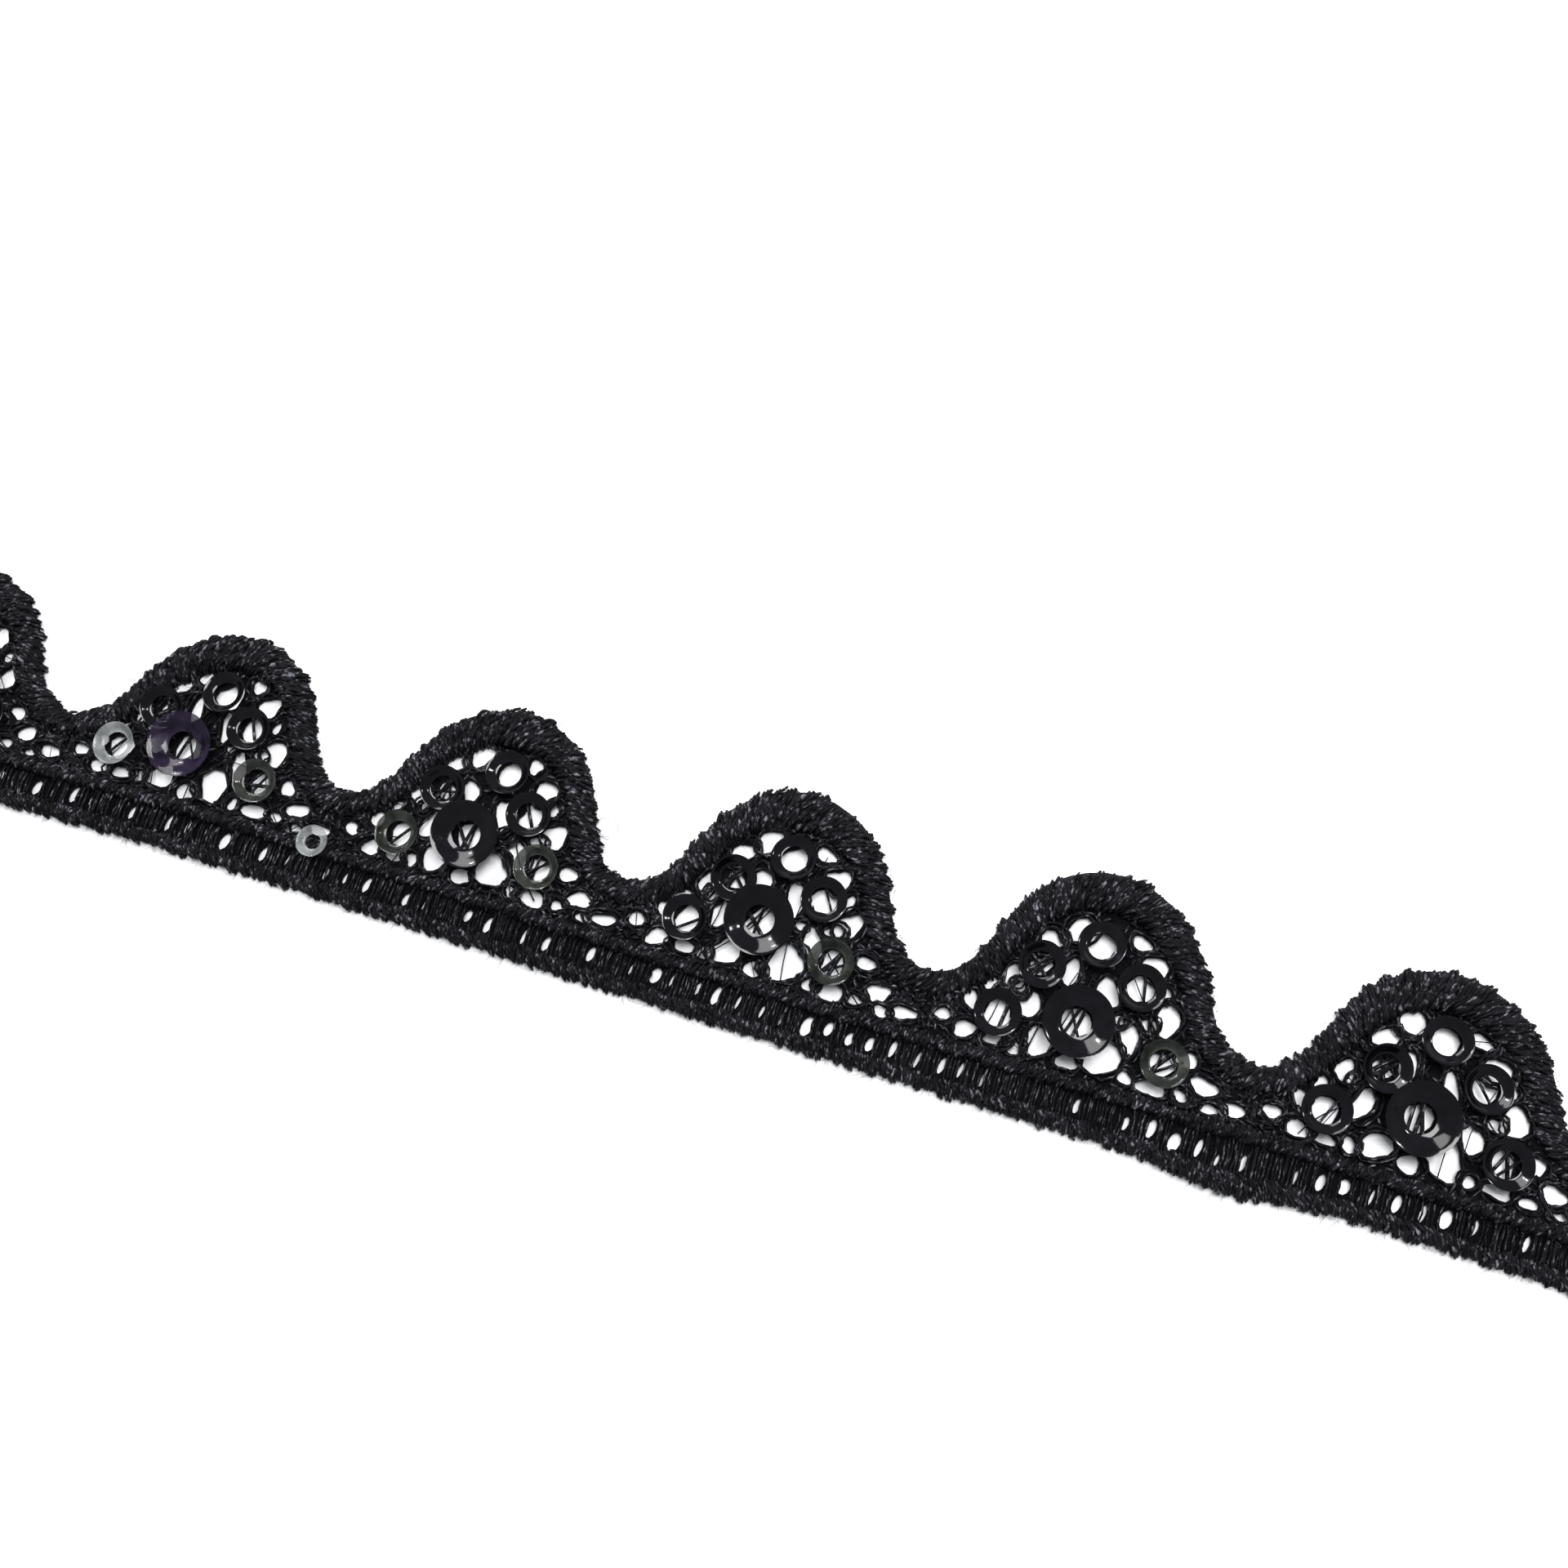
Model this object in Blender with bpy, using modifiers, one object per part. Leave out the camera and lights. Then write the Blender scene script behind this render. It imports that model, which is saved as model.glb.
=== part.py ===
"""A cut length of scalloped lace trim with cup sequins sewn on its open net.

The trim lies flat, right side up. It runs along X with the slight sideways wave of a soft
tape, its header edge towards -Y and its scallops towards +Y. The origin is the middle of the
trim's outline, on the surface that it lies on.

The lace is drawn the way it is worked: on a chart whose squares are a fixed part of one
repeat. u counts squares along the trim from the repeat's big sequin, v counts them up from
the header's lower edge.
"""
import math
import random

import bmesh
import bpy
import numpy as np
from mathutils import Matrix, Quaternion, Vector

# Driving dimensions, in metres
PITCH = 0.0275                  # one scallop, from valley to valley
CHART_SQUARES = 26              # squares of the working chart in one repeat
SQUARE = PITCH / CHART_SQUARES
REPEATS = range(-3, 4)          # seven scallops, 0 is the middle one
NET_THICK = 0.0010
CORD_LIFT = 0.0002              # the corded edges start this far above the underside
BORDER_HEIGHT = 0.0016          # satin border, over CORD_LIFT, where it is widest
HEADER_HEIGHT = 0.0013
SEAT_GAP = 0.0003               # a sequin sits this far above the net

# Cross section of a corded row, flat below: shares of its width and of its height
CORD_PROFILE = ((0.5, 0.0), (0.36, 0.75), (0.0, 1.0), (-0.36, 0.75), (-0.5, 0.0))
CORD_END = 0.25                 # corded rows stop this many chart squares short of the cut ends

# Sideways wave of the tape: its angle after n repeats is B1*n + B2*n**2 + B3*n**3, in radians
WAVE = (0.0125, 0.0011, -0.0041)

# A repeat runs from this chart column to the same column of the next one
VALLEY_U = -11.8

# Middle line of the satin border over one repeat, in chart squares
# columns: u, v, width
BORDER = (
    (-11.8, 7.9, 2.4),
    (-9.4, 8.7, 2.5),
    (-7.7, 10.4, 2.6),
    (-6.5, 12.6, 2.7),
    (-5.3, 14.8, 3.0),
    (-3.6, 16.7, 3.3),
    (-1.3, 18.0, 3.5),
    (1.2, 18.4, 3.6),
    (3.7, 17.9, 3.4),
    (5.9, 16.6, 3.2),
    (7.7, 14.4, 2.9),
    (8.9, 12.0, 2.7),
    (10.1, 9.9, 2.6),
    (11.8, 8.4, 2.5),
)
# How far each repeat's crest leans along and rises, against BORDER, in chart squares
SWAY = {-2: (0.8, -0.5), -1: (0.5, -0.1), 0: (0.1, 0.1), 1: (-0.2, 0.5), 2: (0.0, 0.1)}
BORDER_STEPS = 18               # points of the border's middle line in one repeat
BORDER_TOOTH = 0.05             # every second point is this share wider, the next one narrower
SHEET_REACH = 0.30              # how far the net goes out under the border, as a share of it

# Header band: two corded rows with a row of slits between them, in chart squares
LOWER_CORD_V = 0.35
LOWER_CORD_WIDTH = 1.5
UPPER_CORD_V = 3.5
UPPER_CORD_WIDTH = 1.4
HEADER_STEPS = 7                # points of each corded row in one repeat
SLITS = 14
SLIT_LOW = 1.15
SLIT_HIGH = 2.75
SLIT_WIDE = 0.62
HEADER_TOOTH = 0.06             # as BORDER_TOOTH, on the header's rows
EDGE_SCALLOP = 0.22             # the lower edge waves by this much
BULGE_U = 40.0                  # one place where the header bags out, from repeat 0's big sequin
BULGE_REACH = 5.0
BULGE_DROP = 0.9

# Openings of the net in one repeat, in chart squares, the largest first
# columns: u, v, width, height, turn in degrees
OPENINGS = (
    (2.7, 6.2, 2.3, 2.5, -20),
    (-1.4, 15.3, 2.0, 1.5, 25),
    (7.0, 10.2, 1.7, 2.2, -20),
    (4.6, 8.7, 1.2, 2.0, 20),
    (-3.4, 8.3, 1.3, 2.3, -10),
    (-2.1, 5.9, 1.9, 1.9, 30),
    (5.1, 13.9, 1.6, 1.7, -35),
    (2.1, 11.4, 1.2, 2.3, 10),
    (-0.9, 12.4, 1.3, 1.7, 0),
    (-3.5, 13.8, 1.5, 1.3, 35),
    (-5.3, 10.2, 1.2, 1.6, -15),
    (7.2, 5.2, 2.1, 1.2, 0),
    (0.5, 5.2, 1.5, 1.2, 0),
    (-8.0, 5.7, 1.6, 1.5, 10),
    (11.0, 5.7, 2.0, 1.3, 10),
    (13.4, 5.5, 1.7, 1.1, 0),
    (3.4, 15.5, 1.3, 1.1, -25),
    (9.2, 7.6, 1.3, 1.2, 0),
    (-10.1, 5.9, 1.2, 1.0, 0),
    (-5.2, 5.1, 1.4, 0.9, 0),
)
OPENING_SIDES = 6
CUT_HEIGHT = 0.006              # cutters run this far, well past both faces
OPENING_DRIFT = 0.10            # most that an opening strays from its place, in squares
OPENING_SWELL = 0.06            # most that its size strays, as a share

# Cup sequins: a dished ring. Sizes in metres
# columns: name, outer radius, hole radius, dish depth, wall, sides
BIG = ("big", 0.0030, 0.00118, 0.00085, 0.0003, 16)
SMALL = ("small", 0.0020, 0.00100, 0.00055, 0.0003, 12)
TINY = ("tiny", 0.00145, 0.00070, 0.00035, 0.0003, 10)

# Where the sequins are sewn, in chart squares
# columns: name, kind, u, v, lift above its seat in metres, lean in degrees, way it leans
SEWN = (
    ("left", SMALL, -6.0, 7.1, 0.0, 5.0, 200.0),
    ("low", SMALL, 6.9, 7.2, 0.0, 5.0, -60.0),
    ("right", SMALL, 4.4, 11.8, 0.0, 6.0, 20.0),
    ("upper", SMALL, -3.2, 11.5, 0.0, 9.0, -42.0),
    ("top", SMALL, 1.2, 14.4, 0.0, 6.0, 120.0),
    ("big", BIG, 0.0, 8.6, 0.0003, 7.0, -42.0),
)

# How far each one sits from that place in the five middle repeats, in chart squares
# columns: u and v of left, low, right, upper, top and big
STRAY = {
    -2: ((-0.4, 0.1), (-0.1, 0.3), (0.1, -0.3), (-0.4, -0.1), (0.2, -0.5), (-0.6, 0.1)),
    -1: ((0.5, -0.3), (-0.1, 0.3), (0.2, -0.4), (-0.1, 0.1), (0.6, -0.2), (0.1, -0.2)),
    0: ((0.2, 0.1), (-0.4, 0.0), (0.0, -0.1), (0.0, 0.0), (0.0, -0.2), (-0.1, 0.2)),
    1: ((0.3, 0.0), (0.5, -0.2), (-0.1, 0.2), (-0.4, 0.3), (-0.5, -0.1), (0.2, -0.4)),
    2: ((-0.2, 0.0), (0.0, 0.0), (-0.1, 0.2), (0.3, 0.0), (-0.2, 0.2), (0.2, 0.0)),
}
LEAN_SPREAD = 2.5               # the lean of the unevenly sewn ones strays by this, in degrees

# The one lone grey ring, sewn on the header's upper row
LONE_REPEAT = -1
LONE_U = -12.2
LONE_V = 3.9
LONE_LEAN = 3.0

TINY_STEP = 1e-6                # points closer than this are one point
DRAWN = 1000.0                  # outlines are drawn and filled this many times too large, because
                                # a filled curve runs points together that are 0.03 mm apart

# Colours and finishes
# columns: name, colour, roughness
THREAD = ("black_thread", (0.012, 0.012, 0.014, 1.0), 0.85)
JET = ("jet_sequin", (0.010, 0.009, 0.013, 1.0), 0.12)
GREY = ("grey_sequin", (0.16, 0.17, 0.16, 1.0), 0.15)


def make_material(finish, suffix):
    """A Principled material for one object."""
    name, colour, roughness = finish
    material = bpy.data.materials.new(f"{name}_{suffix}")
    material.use_nodes = True
    shader = material.node_tree.nodes["Principled BSDF"]
    shader.inputs["Base Color"].default_value = colour
    shader.inputs["Roughness"].default_value = roughness
    shader.inputs["Metallic"].default_value = 0.0
    return material


class Tape:
    """The waved line that the trim's lower edge follows, and places measured from it."""

    def __init__(self):
        reach = (REPEATS.stop + 1) * PITCH
        self.along = np.linspace(-reach, reach, 4001)
        turns = self.along / PITCH
        self.angle = WAVE[0] * turns + WAVE[1] * turns ** 2 + WAVE[2] * turns ** 3
        step = self.along[1] - self.along[0]
        middle = len(self.along) // 2
        self.x = np.cumsum(np.cos(self.angle)) * step
        self.y = np.cumsum(np.sin(self.angle)) * step
        self.x -= self.x[middle]
        self.y -= self.y[middle]

    def place(self, repeat, u, v):
        """The point (x, y) in metres of chart place (u, v) in a repeat."""
        along = repeat * PITCH + u * SQUARE
        across = v * SQUARE
        angle = np.interp(along, self.along, self.angle)
        x = np.interp(along, self.along, self.x) - across * math.sin(angle)
        y = np.interp(along, self.along, self.y) + across * math.cos(angle)
        return x, y

    def heading(self, repeat, u):
        """The tape's angle at chart column u of a repeat."""
        return float(np.interp(repeat * PITCH + u * SQUARE, self.along, self.angle))


def border_row(position):
    """(u, v, width) of the border's middle line, from a smooth curve through BORDER.

    position runs from 0 to 1 over one repeat; the curve goes on into the next repeat.
    """
    count = len(BORDER)
    scaled = position * count
    index = math.floor(scaled)
    part = scaled - index
    rows = []
    for step in (-1, 0, 1, 2):
        wrapped, turn = (index + step) % count, (index + step) // count
        u, v, width = BORDER[wrapped]
        rows.append((u + turn * CHART_SQUARES, v, width))
    before, start, end, after = (Vector(row) for row in rows)
    point = 0.5 * (2 * start + (end - before) * part
                   + (2 * before - 5 * start + 4 * end - after) * part ** 2
                   + (3 * start - before - 3 * end + after) * part ** 3)
    return point.x, point.y, point.z


def border_line():
    """The whole border's middle line: rows of (chart column from repeat 0, v, width)."""
    valley_v = BORDER[0][1]
    crest_v = max(v for _, v, _ in BORDER)
    rows = []
    for repeat in REPEATS:
        sway_u, sway_v = SWAY.get(repeat, (0.0, 0.0))
        for step in range(BORDER_STEPS):
            u, v, width = border_row(step / BORDER_STEPS)
            share = (v - valley_v) / (crest_v - valley_v)
            rows.append((u + repeat * CHART_SQUARES + sway_u * share, v + sway_v * share, width))
    u, v, width = border_row(0.0)
    rows.append((u + REPEATS.stop * CHART_SQUARES, v, width))
    return rows


def bulge(u):
    """How far the header's lower edge bags out at a chart column counted from repeat 0."""
    return BULGE_DROP * math.exp(-((u - BULGE_U) / BULGE_REACH) ** 2)


def outline_points(tape, line):
    """The net's edge: out under the border, and back along the header's waved lower edge."""
    points = []
    for index, (u, v, width) in enumerate(line):
        before = line[max(index - 1, 0)]
        after = line[min(index + 1, len(line) - 1)]
        run = Vector((after[0] - before[0], after[1] - before[1])).normalized()
        if index in (0, len(line) - 1):
            run = Vector((1.0, 0.0))
        reach = SHEET_REACH * width
        points.append(tape.place(0, u - run.y * reach, v + run.x * reach))
    first, last = line[0][0], line[-1][0]
    edge_steps = HEADER_STEPS * len(REPEATS)
    for step in range(edge_steps, -1, -1):
        u = first + (last - first) * step / edge_steps
        v = -EDGE_SCALLOP if step % 2 else 0.0
        points.append(tape.place(0, u, v - bulge(u)))
    return points


def add_opening(shape, tape, repeat, row, rng):
    """Add the cutter of one opening of the net: a prism of a few sides."""
    u, v, wide, high, turn = row
    u += rng.uniform(-OPENING_DRIFT, OPENING_DRIFT)
    v += rng.uniform(-OPENING_DRIFT, OPENING_DRIFT)
    swell = SQUARE * (1.0 + rng.uniform(-OPENING_SWELL, OPENING_SWELL))
    size = Matrix.Diagonal((wide * swell, high * swell, CUT_HEIGHT, 1.0))
    rotation = Matrix.Rotation(tape.heading(repeat, u) + math.radians(turn), 4, "Z")
    matrix = Matrix.Translation((*tape.place(repeat, u, v), 0.0)) @ rotation @ size
    bmesh.ops.create_cone(shape, cap_ends=True, segments=OPENING_SIDES, radius1=0.5, radius2=0.5,
                          depth=1.0, matrix=matrix)


def add_slit(shape, tape, repeat, number):
    """Add the cutter of one slit of the header's ladder row: a box."""
    u = VALLEY_U + (number + 0.5) * CHART_SQUARES / SLITS
    v = (SLIT_LOW + SLIT_HIGH) / 2
    size = Matrix.Diagonal((SLIT_WIDE * SQUARE, (SLIT_HIGH - SLIT_LOW) * SQUARE, CUT_HEIGHT, 1.0))
    turn = Matrix.Rotation(tape.heading(repeat, u), 4, "Z")
    matrix = Matrix.Translation((*tape.place(repeat, u, v), 0.0)) @ turn @ size
    bmesh.ops.create_cube(shape, size=1.0, matrix=matrix)


def make_cutter(tape, collection):
    """Every opening and slit as one hidden cutter."""
    shape = bmesh.new()
    for repeat in REPEATS:
        rng = random.Random(40 + repeat)
        for row in OPENINGS:
            add_opening(shape, tape, repeat, row, rng)
        for number in range(SLITS):
            add_slit(shape, tape, repeat, number)
    mesh = bpy.data.meshes.new("openings")
    shape.to_mesh(mesh)
    shape.free()
    cutter = bpy.data.objects.new("openings", mesh)
    cutter.hide_render = True
    cutter.display_type = "WIRE"
    collection.objects.link(cutter)
    return cutter


def add_spline(curve, points, closed):
    """A straight-sided spline through (x, y) points, drawn large."""
    spline = curve.splines.new("POLY")
    spline.points.add(len(points) - 1)
    for spot, (x, y) in zip(spline.points, points):
        spot.co = (x * DRAWN, y * DRAWN, 0.0, 1.0)
    spline.use_cyclic_u = closed
    return spline


def mesh_from_curve(curve_object, name, collection):
    """A closed mesh object with the drawn curve's shape at real size, in its place."""
    bpy.context.view_layer.update()
    graph = bpy.context.evaluated_depsgraph_get()
    mesh = bpy.data.meshes.new_from_object(curve_object.evaluated_get(graph))
    mesh.transform(Matrix.Scale(1.0 / DRAWN, 4))
    matrix = curve_object.matrix_world.copy()
    bpy.data.objects.remove(curve_object)
    piece = bpy.data.objects.new(name, mesh)
    piece.matrix_world = matrix
    collection.objects.link(piece)
    shape = bmesh.new()
    shape.from_mesh(mesh)
    bmesh.ops.remove_doubles(shape, verts=shape.verts, dist=TINY_STEP)
    bmesh.ops.recalc_face_normals(shape, faces=shape.faces)
    shape.to_mesh(mesh)
    shape.free()
    return piece


def make_sheet(tape, collection):
    """The ground of the net and header as one flat sheet, before its openings are cut."""
    curve = bpy.data.curves.new("lace_outline", "CURVE")
    curve.dimensions = "2D"
    curve.fill_mode = "BOTH"
    curve.extrude = NET_THICK / 2 * DRAWN
    add_spline(curve, outline_points(tape, border_line()), True)
    flat = bpy.data.objects.new("lace_outline", curve)
    flat.location.z = NET_THICK / 2
    collection.objects.link(flat)
    return mesh_from_curve(flat, "lace", collection)


def make_profile(height):
    """The cross section of a corded row: flat below and round above, one unit wide."""
    curve = bpy.data.curves.new("cord_profile", "CURVE")
    curve.dimensions = "2D"
    add_spline(curve, [(x, y * height) for x, y in CORD_PROFILE], True)
    profile = bpy.data.objects.new("cord_profile", curve)
    bpy.context.scene.collection.objects.link(profile)
    return profile


def make_cord(tape, rows, height, full_width, name, collection):
    """A raised row of stitches along rows of (chart column, v, width), as a closed mesh.

    It is as high as height where it is as wide as full_width, and lower where it is narrower.
    """
    profile = make_profile(height / (full_width * SQUARE))
    curve = bpy.data.curves.new(name, "CURVE")
    curve.dimensions = "3D"
    curve.twist_mode = "Z_UP"
    curve.bevel_mode = "OBJECT"
    curve.bevel_object = profile
    curve.use_fill_caps = True
    spline = add_spline(curve, [tape.place(0, u, v) for u, v, _ in rows], False)
    for spot, (_, _, width) in zip(spline.points, rows):
        spot.radius = width * SQUARE
    line = bpy.data.objects.new(name, curve)
    line.location.z = CORD_LIFT
    collection.objects.link(line)
    cord = mesh_from_curve(line, name, collection)
    bpy.data.objects.remove(profile)
    cord.hide_render = True
    cord.display_type = "WIRE"
    return cord


def border_rows():
    """The border's rows with its stepped, toothed width."""
    rows = []
    for index, (u, v, width) in enumerate(border_line()):
        tooth = BORDER_TOOTH if index % 2 else -BORDER_TOOTH
        rows.append((u, v, width * (1.0 + tooth)))
    rows[0] = (rows[0][0] + CORD_END, rows[0][1], rows[0][2])
    rows[-1] = (rows[-1][0] - CORD_END, rows[-1][1], rows[-1][2])
    return rows


def header_rows(middle, width, bags):
    """The rows of one of the header's two corded rows; bags says if it follows the bulge."""
    first = REPEATS.start * CHART_SQUARES + VALLEY_U + CORD_END
    last = REPEATS.stop * CHART_SQUARES + VALLEY_U - CORD_END
    steps = HEADER_STEPS * len(REPEATS)
    rows = []
    for step in range(steps + 1):
        u = first + (last - first) * step / steps
        drop = bulge(u) if bags else 0.0
        tooth = HEADER_TOOTH if step % 2 else -HEADER_TOOTH
        rows.append((u, middle - 0.75 * drop, width * (1.0 + tooth) + 0.5 * drop))
    return rows


def combine(piece, other, operation):
    """Join another closed shape to a piece, or cut it out of the piece."""
    boolean = piece.modifiers.new(other.name, "BOOLEAN")
    boolean.operation = operation
    boolean.solver = "EXACT"
    boolean.object = other


def make_lace(tape, parts, guides):
    """The one embroidered piece: net, header and corded edges."""
    lace = make_sheet(tape, parts)
    border_width = max(width for _, _, width in BORDER)
    lower = header_rows(LOWER_CORD_V, LOWER_CORD_WIDTH, True)
    upper = header_rows(UPPER_CORD_V, UPPER_CORD_WIDTH, False)
    cords = (
        ("border_cord", border_rows(), BORDER_HEIGHT, border_width),
        ("lower_cord", lower, HEADER_HEIGHT, LOWER_CORD_WIDTH),
        ("upper_cord", upper, HEADER_HEIGHT, UPPER_CORD_WIDTH),
    )
    for name, rows, height, full_width in cords:
        combine(lace, make_cord(tape, rows, height, full_width, name, guides), "UNION")
    combine(lace, make_cutter(tape, guides), "DIFFERENCE")
    lace.data.materials.clear()
    lace.data.materials.append(make_material(THREAD, "lace"))
    return lace


def make_sequin_mesh(kind):
    """The wall of a dished ring, to be turned about Z by a Screw modifier."""
    name, outer, hole, depth, wall, _ = kind
    mesh = bpy.data.meshes.new(f"sequin_wall_{name}")
    shape = bmesh.new()
    corners = ((hole, wall), (outer, depth + wall), (outer, depth), (hole, 0.0))
    spots = [shape.verts.new((x, 0.0, z)) for x, z in corners]
    for index, spot in enumerate(spots):
        shape.edges.new((spot, spots[(index + 1) % len(spots)]))
    shape.to_mesh(mesh)
    shape.free()
    return mesh


def lean(amount, way):
    """A turn that leans a sequin by amount towards the compass way, both in degrees."""
    axis = Vector((-math.sin(math.radians(way)), math.cos(math.radians(way)), 0.0))
    return Quaternion(axis, math.radians(amount))


def make_sequin(name, kind, mesh, place, seat, turn, finish, collection):
    """One sewn sequin, leaning, with its lowest point above its seat."""
    _, _, hole, _, _, sides = kind
    tilt = turn.angle
    sequin = bpy.data.objects.new(name, mesh)
    sequin.location = (place[0], place[1], seat + SEAT_GAP + hole * math.sin(tilt))
    sequin.rotation_mode = "QUATERNION"
    sequin.rotation_quaternion = turn
    screw = sequin.modifiers.new("turned", "SCREW")
    screw.steps = sides
    screw.render_steps = sides
    screw.use_merge_vertices = True
    screw.merge_threshold = TINY_STEP
    collection.objects.link(sequin)
    if not mesh.materials:
        mesh.materials.append(None)
    sequin.material_slots[0].link = "OBJECT"
    sequin.material_slots[0].material = make_material(finish, name)
    return sequin


def make_sequins(tape, collection):
    """All the sewn sequins: six in each repeat, and the lone ring."""
    meshes = {kind[0]: make_sequin_mesh(kind) for kind in (BIG, SMALL, TINY)}
    still = ((0.0, 0.0),) * len(SEWN)
    made = []
    for number, repeat in enumerate(REPEATS, start=1):
        rng = random.Random(70 + repeat)
        for row, (stray_u, stray_v) in zip(SEWN, STRAY.get(repeat, still)):
            name, kind, u, v, lift, amount, way = row
            place = tape.place(repeat, u + stray_u, v + stray_v)
            amount += rng.uniform(-LEAN_SPREAD, LEAN_SPREAD) if lift == 0.0 else 0.0
            turn = lean(amount, way)
            label = f"sequin_{number}_{name}"
            seat = NET_THICK + lift
            made.append(make_sequin(label, kind, meshes[kind[0]], place, seat, turn, JET, collection))
    place = tape.place(LONE_REPEAT, LONE_U, LONE_V)
    seat = CORD_LIFT + HEADER_HEIGHT
    turn = lean(LONE_LEAN, 90.0)
    made.append(make_sequin("sequin_lone", TINY, meshes["tiny"], place, seat, turn, GREY, collection))
    return made


def centre(pieces, guides):
    """Hang everything on one empty, moved so that the outline's middle is the origin."""
    bpy.context.view_layer.update()
    graph = bpy.context.evaluated_depsgraph_get()
    corners = []
    for piece in pieces:
        shaped = piece.evaluated_get(graph)
        corners += [shaped.matrix_world @ Vector(corner) for corner in shaped.bound_box]
    low_x, high_x = min(c.x for c in corners), max(c.x for c in corners)
    low_y, high_y = min(c.y for c in corners), max(c.y for c in corners)
    hub = bpy.data.objects.new("trim_middle", None)
    bpy.context.scene.collection.objects.link(hub)
    for piece in pieces + guides:
        piece.parent = hub
    hub.location = (-(low_x + high_x) / 2, -(low_y + high_y) / 2, 0.0)
    bpy.context.view_layer.update()


def main():
    for old in list(bpy.data.objects):
        bpy.data.objects.remove(old)
    parts = bpy.data.collections.new("beaded_lace_trim")
    guides = bpy.data.collections.new("cutters")
    for collection in (parts, guides):
        bpy.context.scene.collection.children.link(collection)
    tape = Tape()
    lace = make_lace(tape, parts, guides)
    sequins = make_sequins(tape, parts)
    centre([lace] + sequins, list(guides.objects))


main()
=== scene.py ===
"""Looks of a cut length of scalloped black lace trim with cup sequins, on a pale table.

The trim lies along X, its header edge towards -Y and its scallops towards +Y. Places on the lace
are given on its working chart: a column counts chart squares along the trim from the middle
repeat's big sequin, and v counts squares up from the header's lower edge.
"""
import logging
import math
from dataclasses import dataclass, field
from enum import Enum

import bpy
import numpy as np
from mathutils import Matrix, Quaternion, Vector


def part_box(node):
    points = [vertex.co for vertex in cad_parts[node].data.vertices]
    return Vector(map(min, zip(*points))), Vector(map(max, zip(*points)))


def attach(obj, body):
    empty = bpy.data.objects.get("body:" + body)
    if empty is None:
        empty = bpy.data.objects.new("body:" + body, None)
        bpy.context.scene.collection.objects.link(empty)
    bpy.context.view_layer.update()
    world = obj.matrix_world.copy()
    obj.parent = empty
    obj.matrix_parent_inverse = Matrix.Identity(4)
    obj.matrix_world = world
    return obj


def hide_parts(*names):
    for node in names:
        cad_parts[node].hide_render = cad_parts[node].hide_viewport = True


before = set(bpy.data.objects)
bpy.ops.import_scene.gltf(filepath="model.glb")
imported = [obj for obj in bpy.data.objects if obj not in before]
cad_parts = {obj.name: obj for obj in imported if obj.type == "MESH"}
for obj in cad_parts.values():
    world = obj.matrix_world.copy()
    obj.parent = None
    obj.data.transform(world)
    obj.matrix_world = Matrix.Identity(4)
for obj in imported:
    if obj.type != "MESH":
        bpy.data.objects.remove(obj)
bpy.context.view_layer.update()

log = logging.getLogger("beaded_lace_trim")

MM = 0.001
UP = np.array([0.0, 0.0, 1.0])
BODY = "root"
REPEATS = range(-3, 4)
SQUARES = 26
PATTERN_ALONG = 3.7
PATTERN_AROUND = 1.618
PATTERN_REACH = 97.0


class SequinSize(Enum):
    """The three sizes of cup sequin."""

    BIG = "big"
    SMALL = "small"
    TINY = "tiny"


class SequinLook(Enum):
    """How the plastic of a sequin looks."""

    JET = "jet"
    SMOKE = "smoke"
    MOSS = "moss"
    PALE = "pale"


def deselect_all() -> None:
    """Leave nothing selected, so that an operator acts on new work only."""
    bpy.ops.object.select_all(action="DESELECT")


def pick(piece: bpy.types.Object) -> None:
    """Make one object the only selected and active one."""
    deselect_all()
    piece.select_set(True)
    bpy.context.view_layer.objects.active = piece


def dress(piece: bpy.types.Object, finish: bpy.types.Material) -> None:
    """Give a piece one material and nothing else."""
    piece.data.materials.clear()
    piece.data.materials.append(finish)


class Recipe:
    """Adds the nodes of one material."""

    def __init__(self, name: str) -> None:
        """Start a material that has its Principled shader only."""
        self.material = bpy.data.materials.new(name)
        self.material.use_nodes = True
        self.nodes = self.material.node_tree.nodes
        self.links = self.material.node_tree.links
        self.shader = self.nodes["Principled BSDF"]

    def add(self, kind: str, inputs: dict[str, object] | None = None, **settings: object) -> bpy.types.Node:
        """Add a node.

        Args:
            kind: the node's type in Blender.
            inputs: values of its sockets, by name.
            **settings: values of the node's own properties.

        Returns:
            The node.
        """
        node = self.nodes.new(kind)
        for name, value in settings.items():
            setattr(node, name, value)
        for name, value in (inputs or {}).items():
            node.inputs[name].default_value = value
        return node

    def join(self, source: bpy.types.NodeSocket, target: bpy.types.NodeSocket) -> None:
        """Link one socket to another."""
        self.links.new(source, target)

    def ramp(self, source: bpy.types.NodeSocket, stops: list[tuple[float, tuple]]) -> bpy.types.NodeSocket:
        """Pass a value through colour stops.

        Args:
            source: the value.
            stops: (place, colour) rows, two or more.

        Returns:
            The colour's socket.
        """
        node = self.add("ShaderNodeValToRGB")
        while len(node.color_ramp.elements) < len(stops):
            node.color_ramp.elements.new(0.5)
        for element, (place, colour) in zip(node.color_ramp.elements, stops):
            element.position = place
            element.color = (*colour, 1.0)
        self.join(source, node.inputs["Fac"])
        return node.outputs["Color"]

    def spread(self, source: bpy.types.NodeSocket, low: float, high: float) -> bpy.types.NodeSocket:
        """Stretch a value from 0 to 1 over low to high."""
        node = self.add("ShaderNodeMapRange", {"To Min": low, "To Max": high})
        self.join(source, node.inputs["Value"])
        return node.outputs["Result"]

    def shader_values(self, **values: object) -> None:
        """Set the shader's own sockets, underscores standing for spaces."""
        for name, value in values.items():
            self.shader.inputs[name.replace("_", " ")].default_value = value


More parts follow.
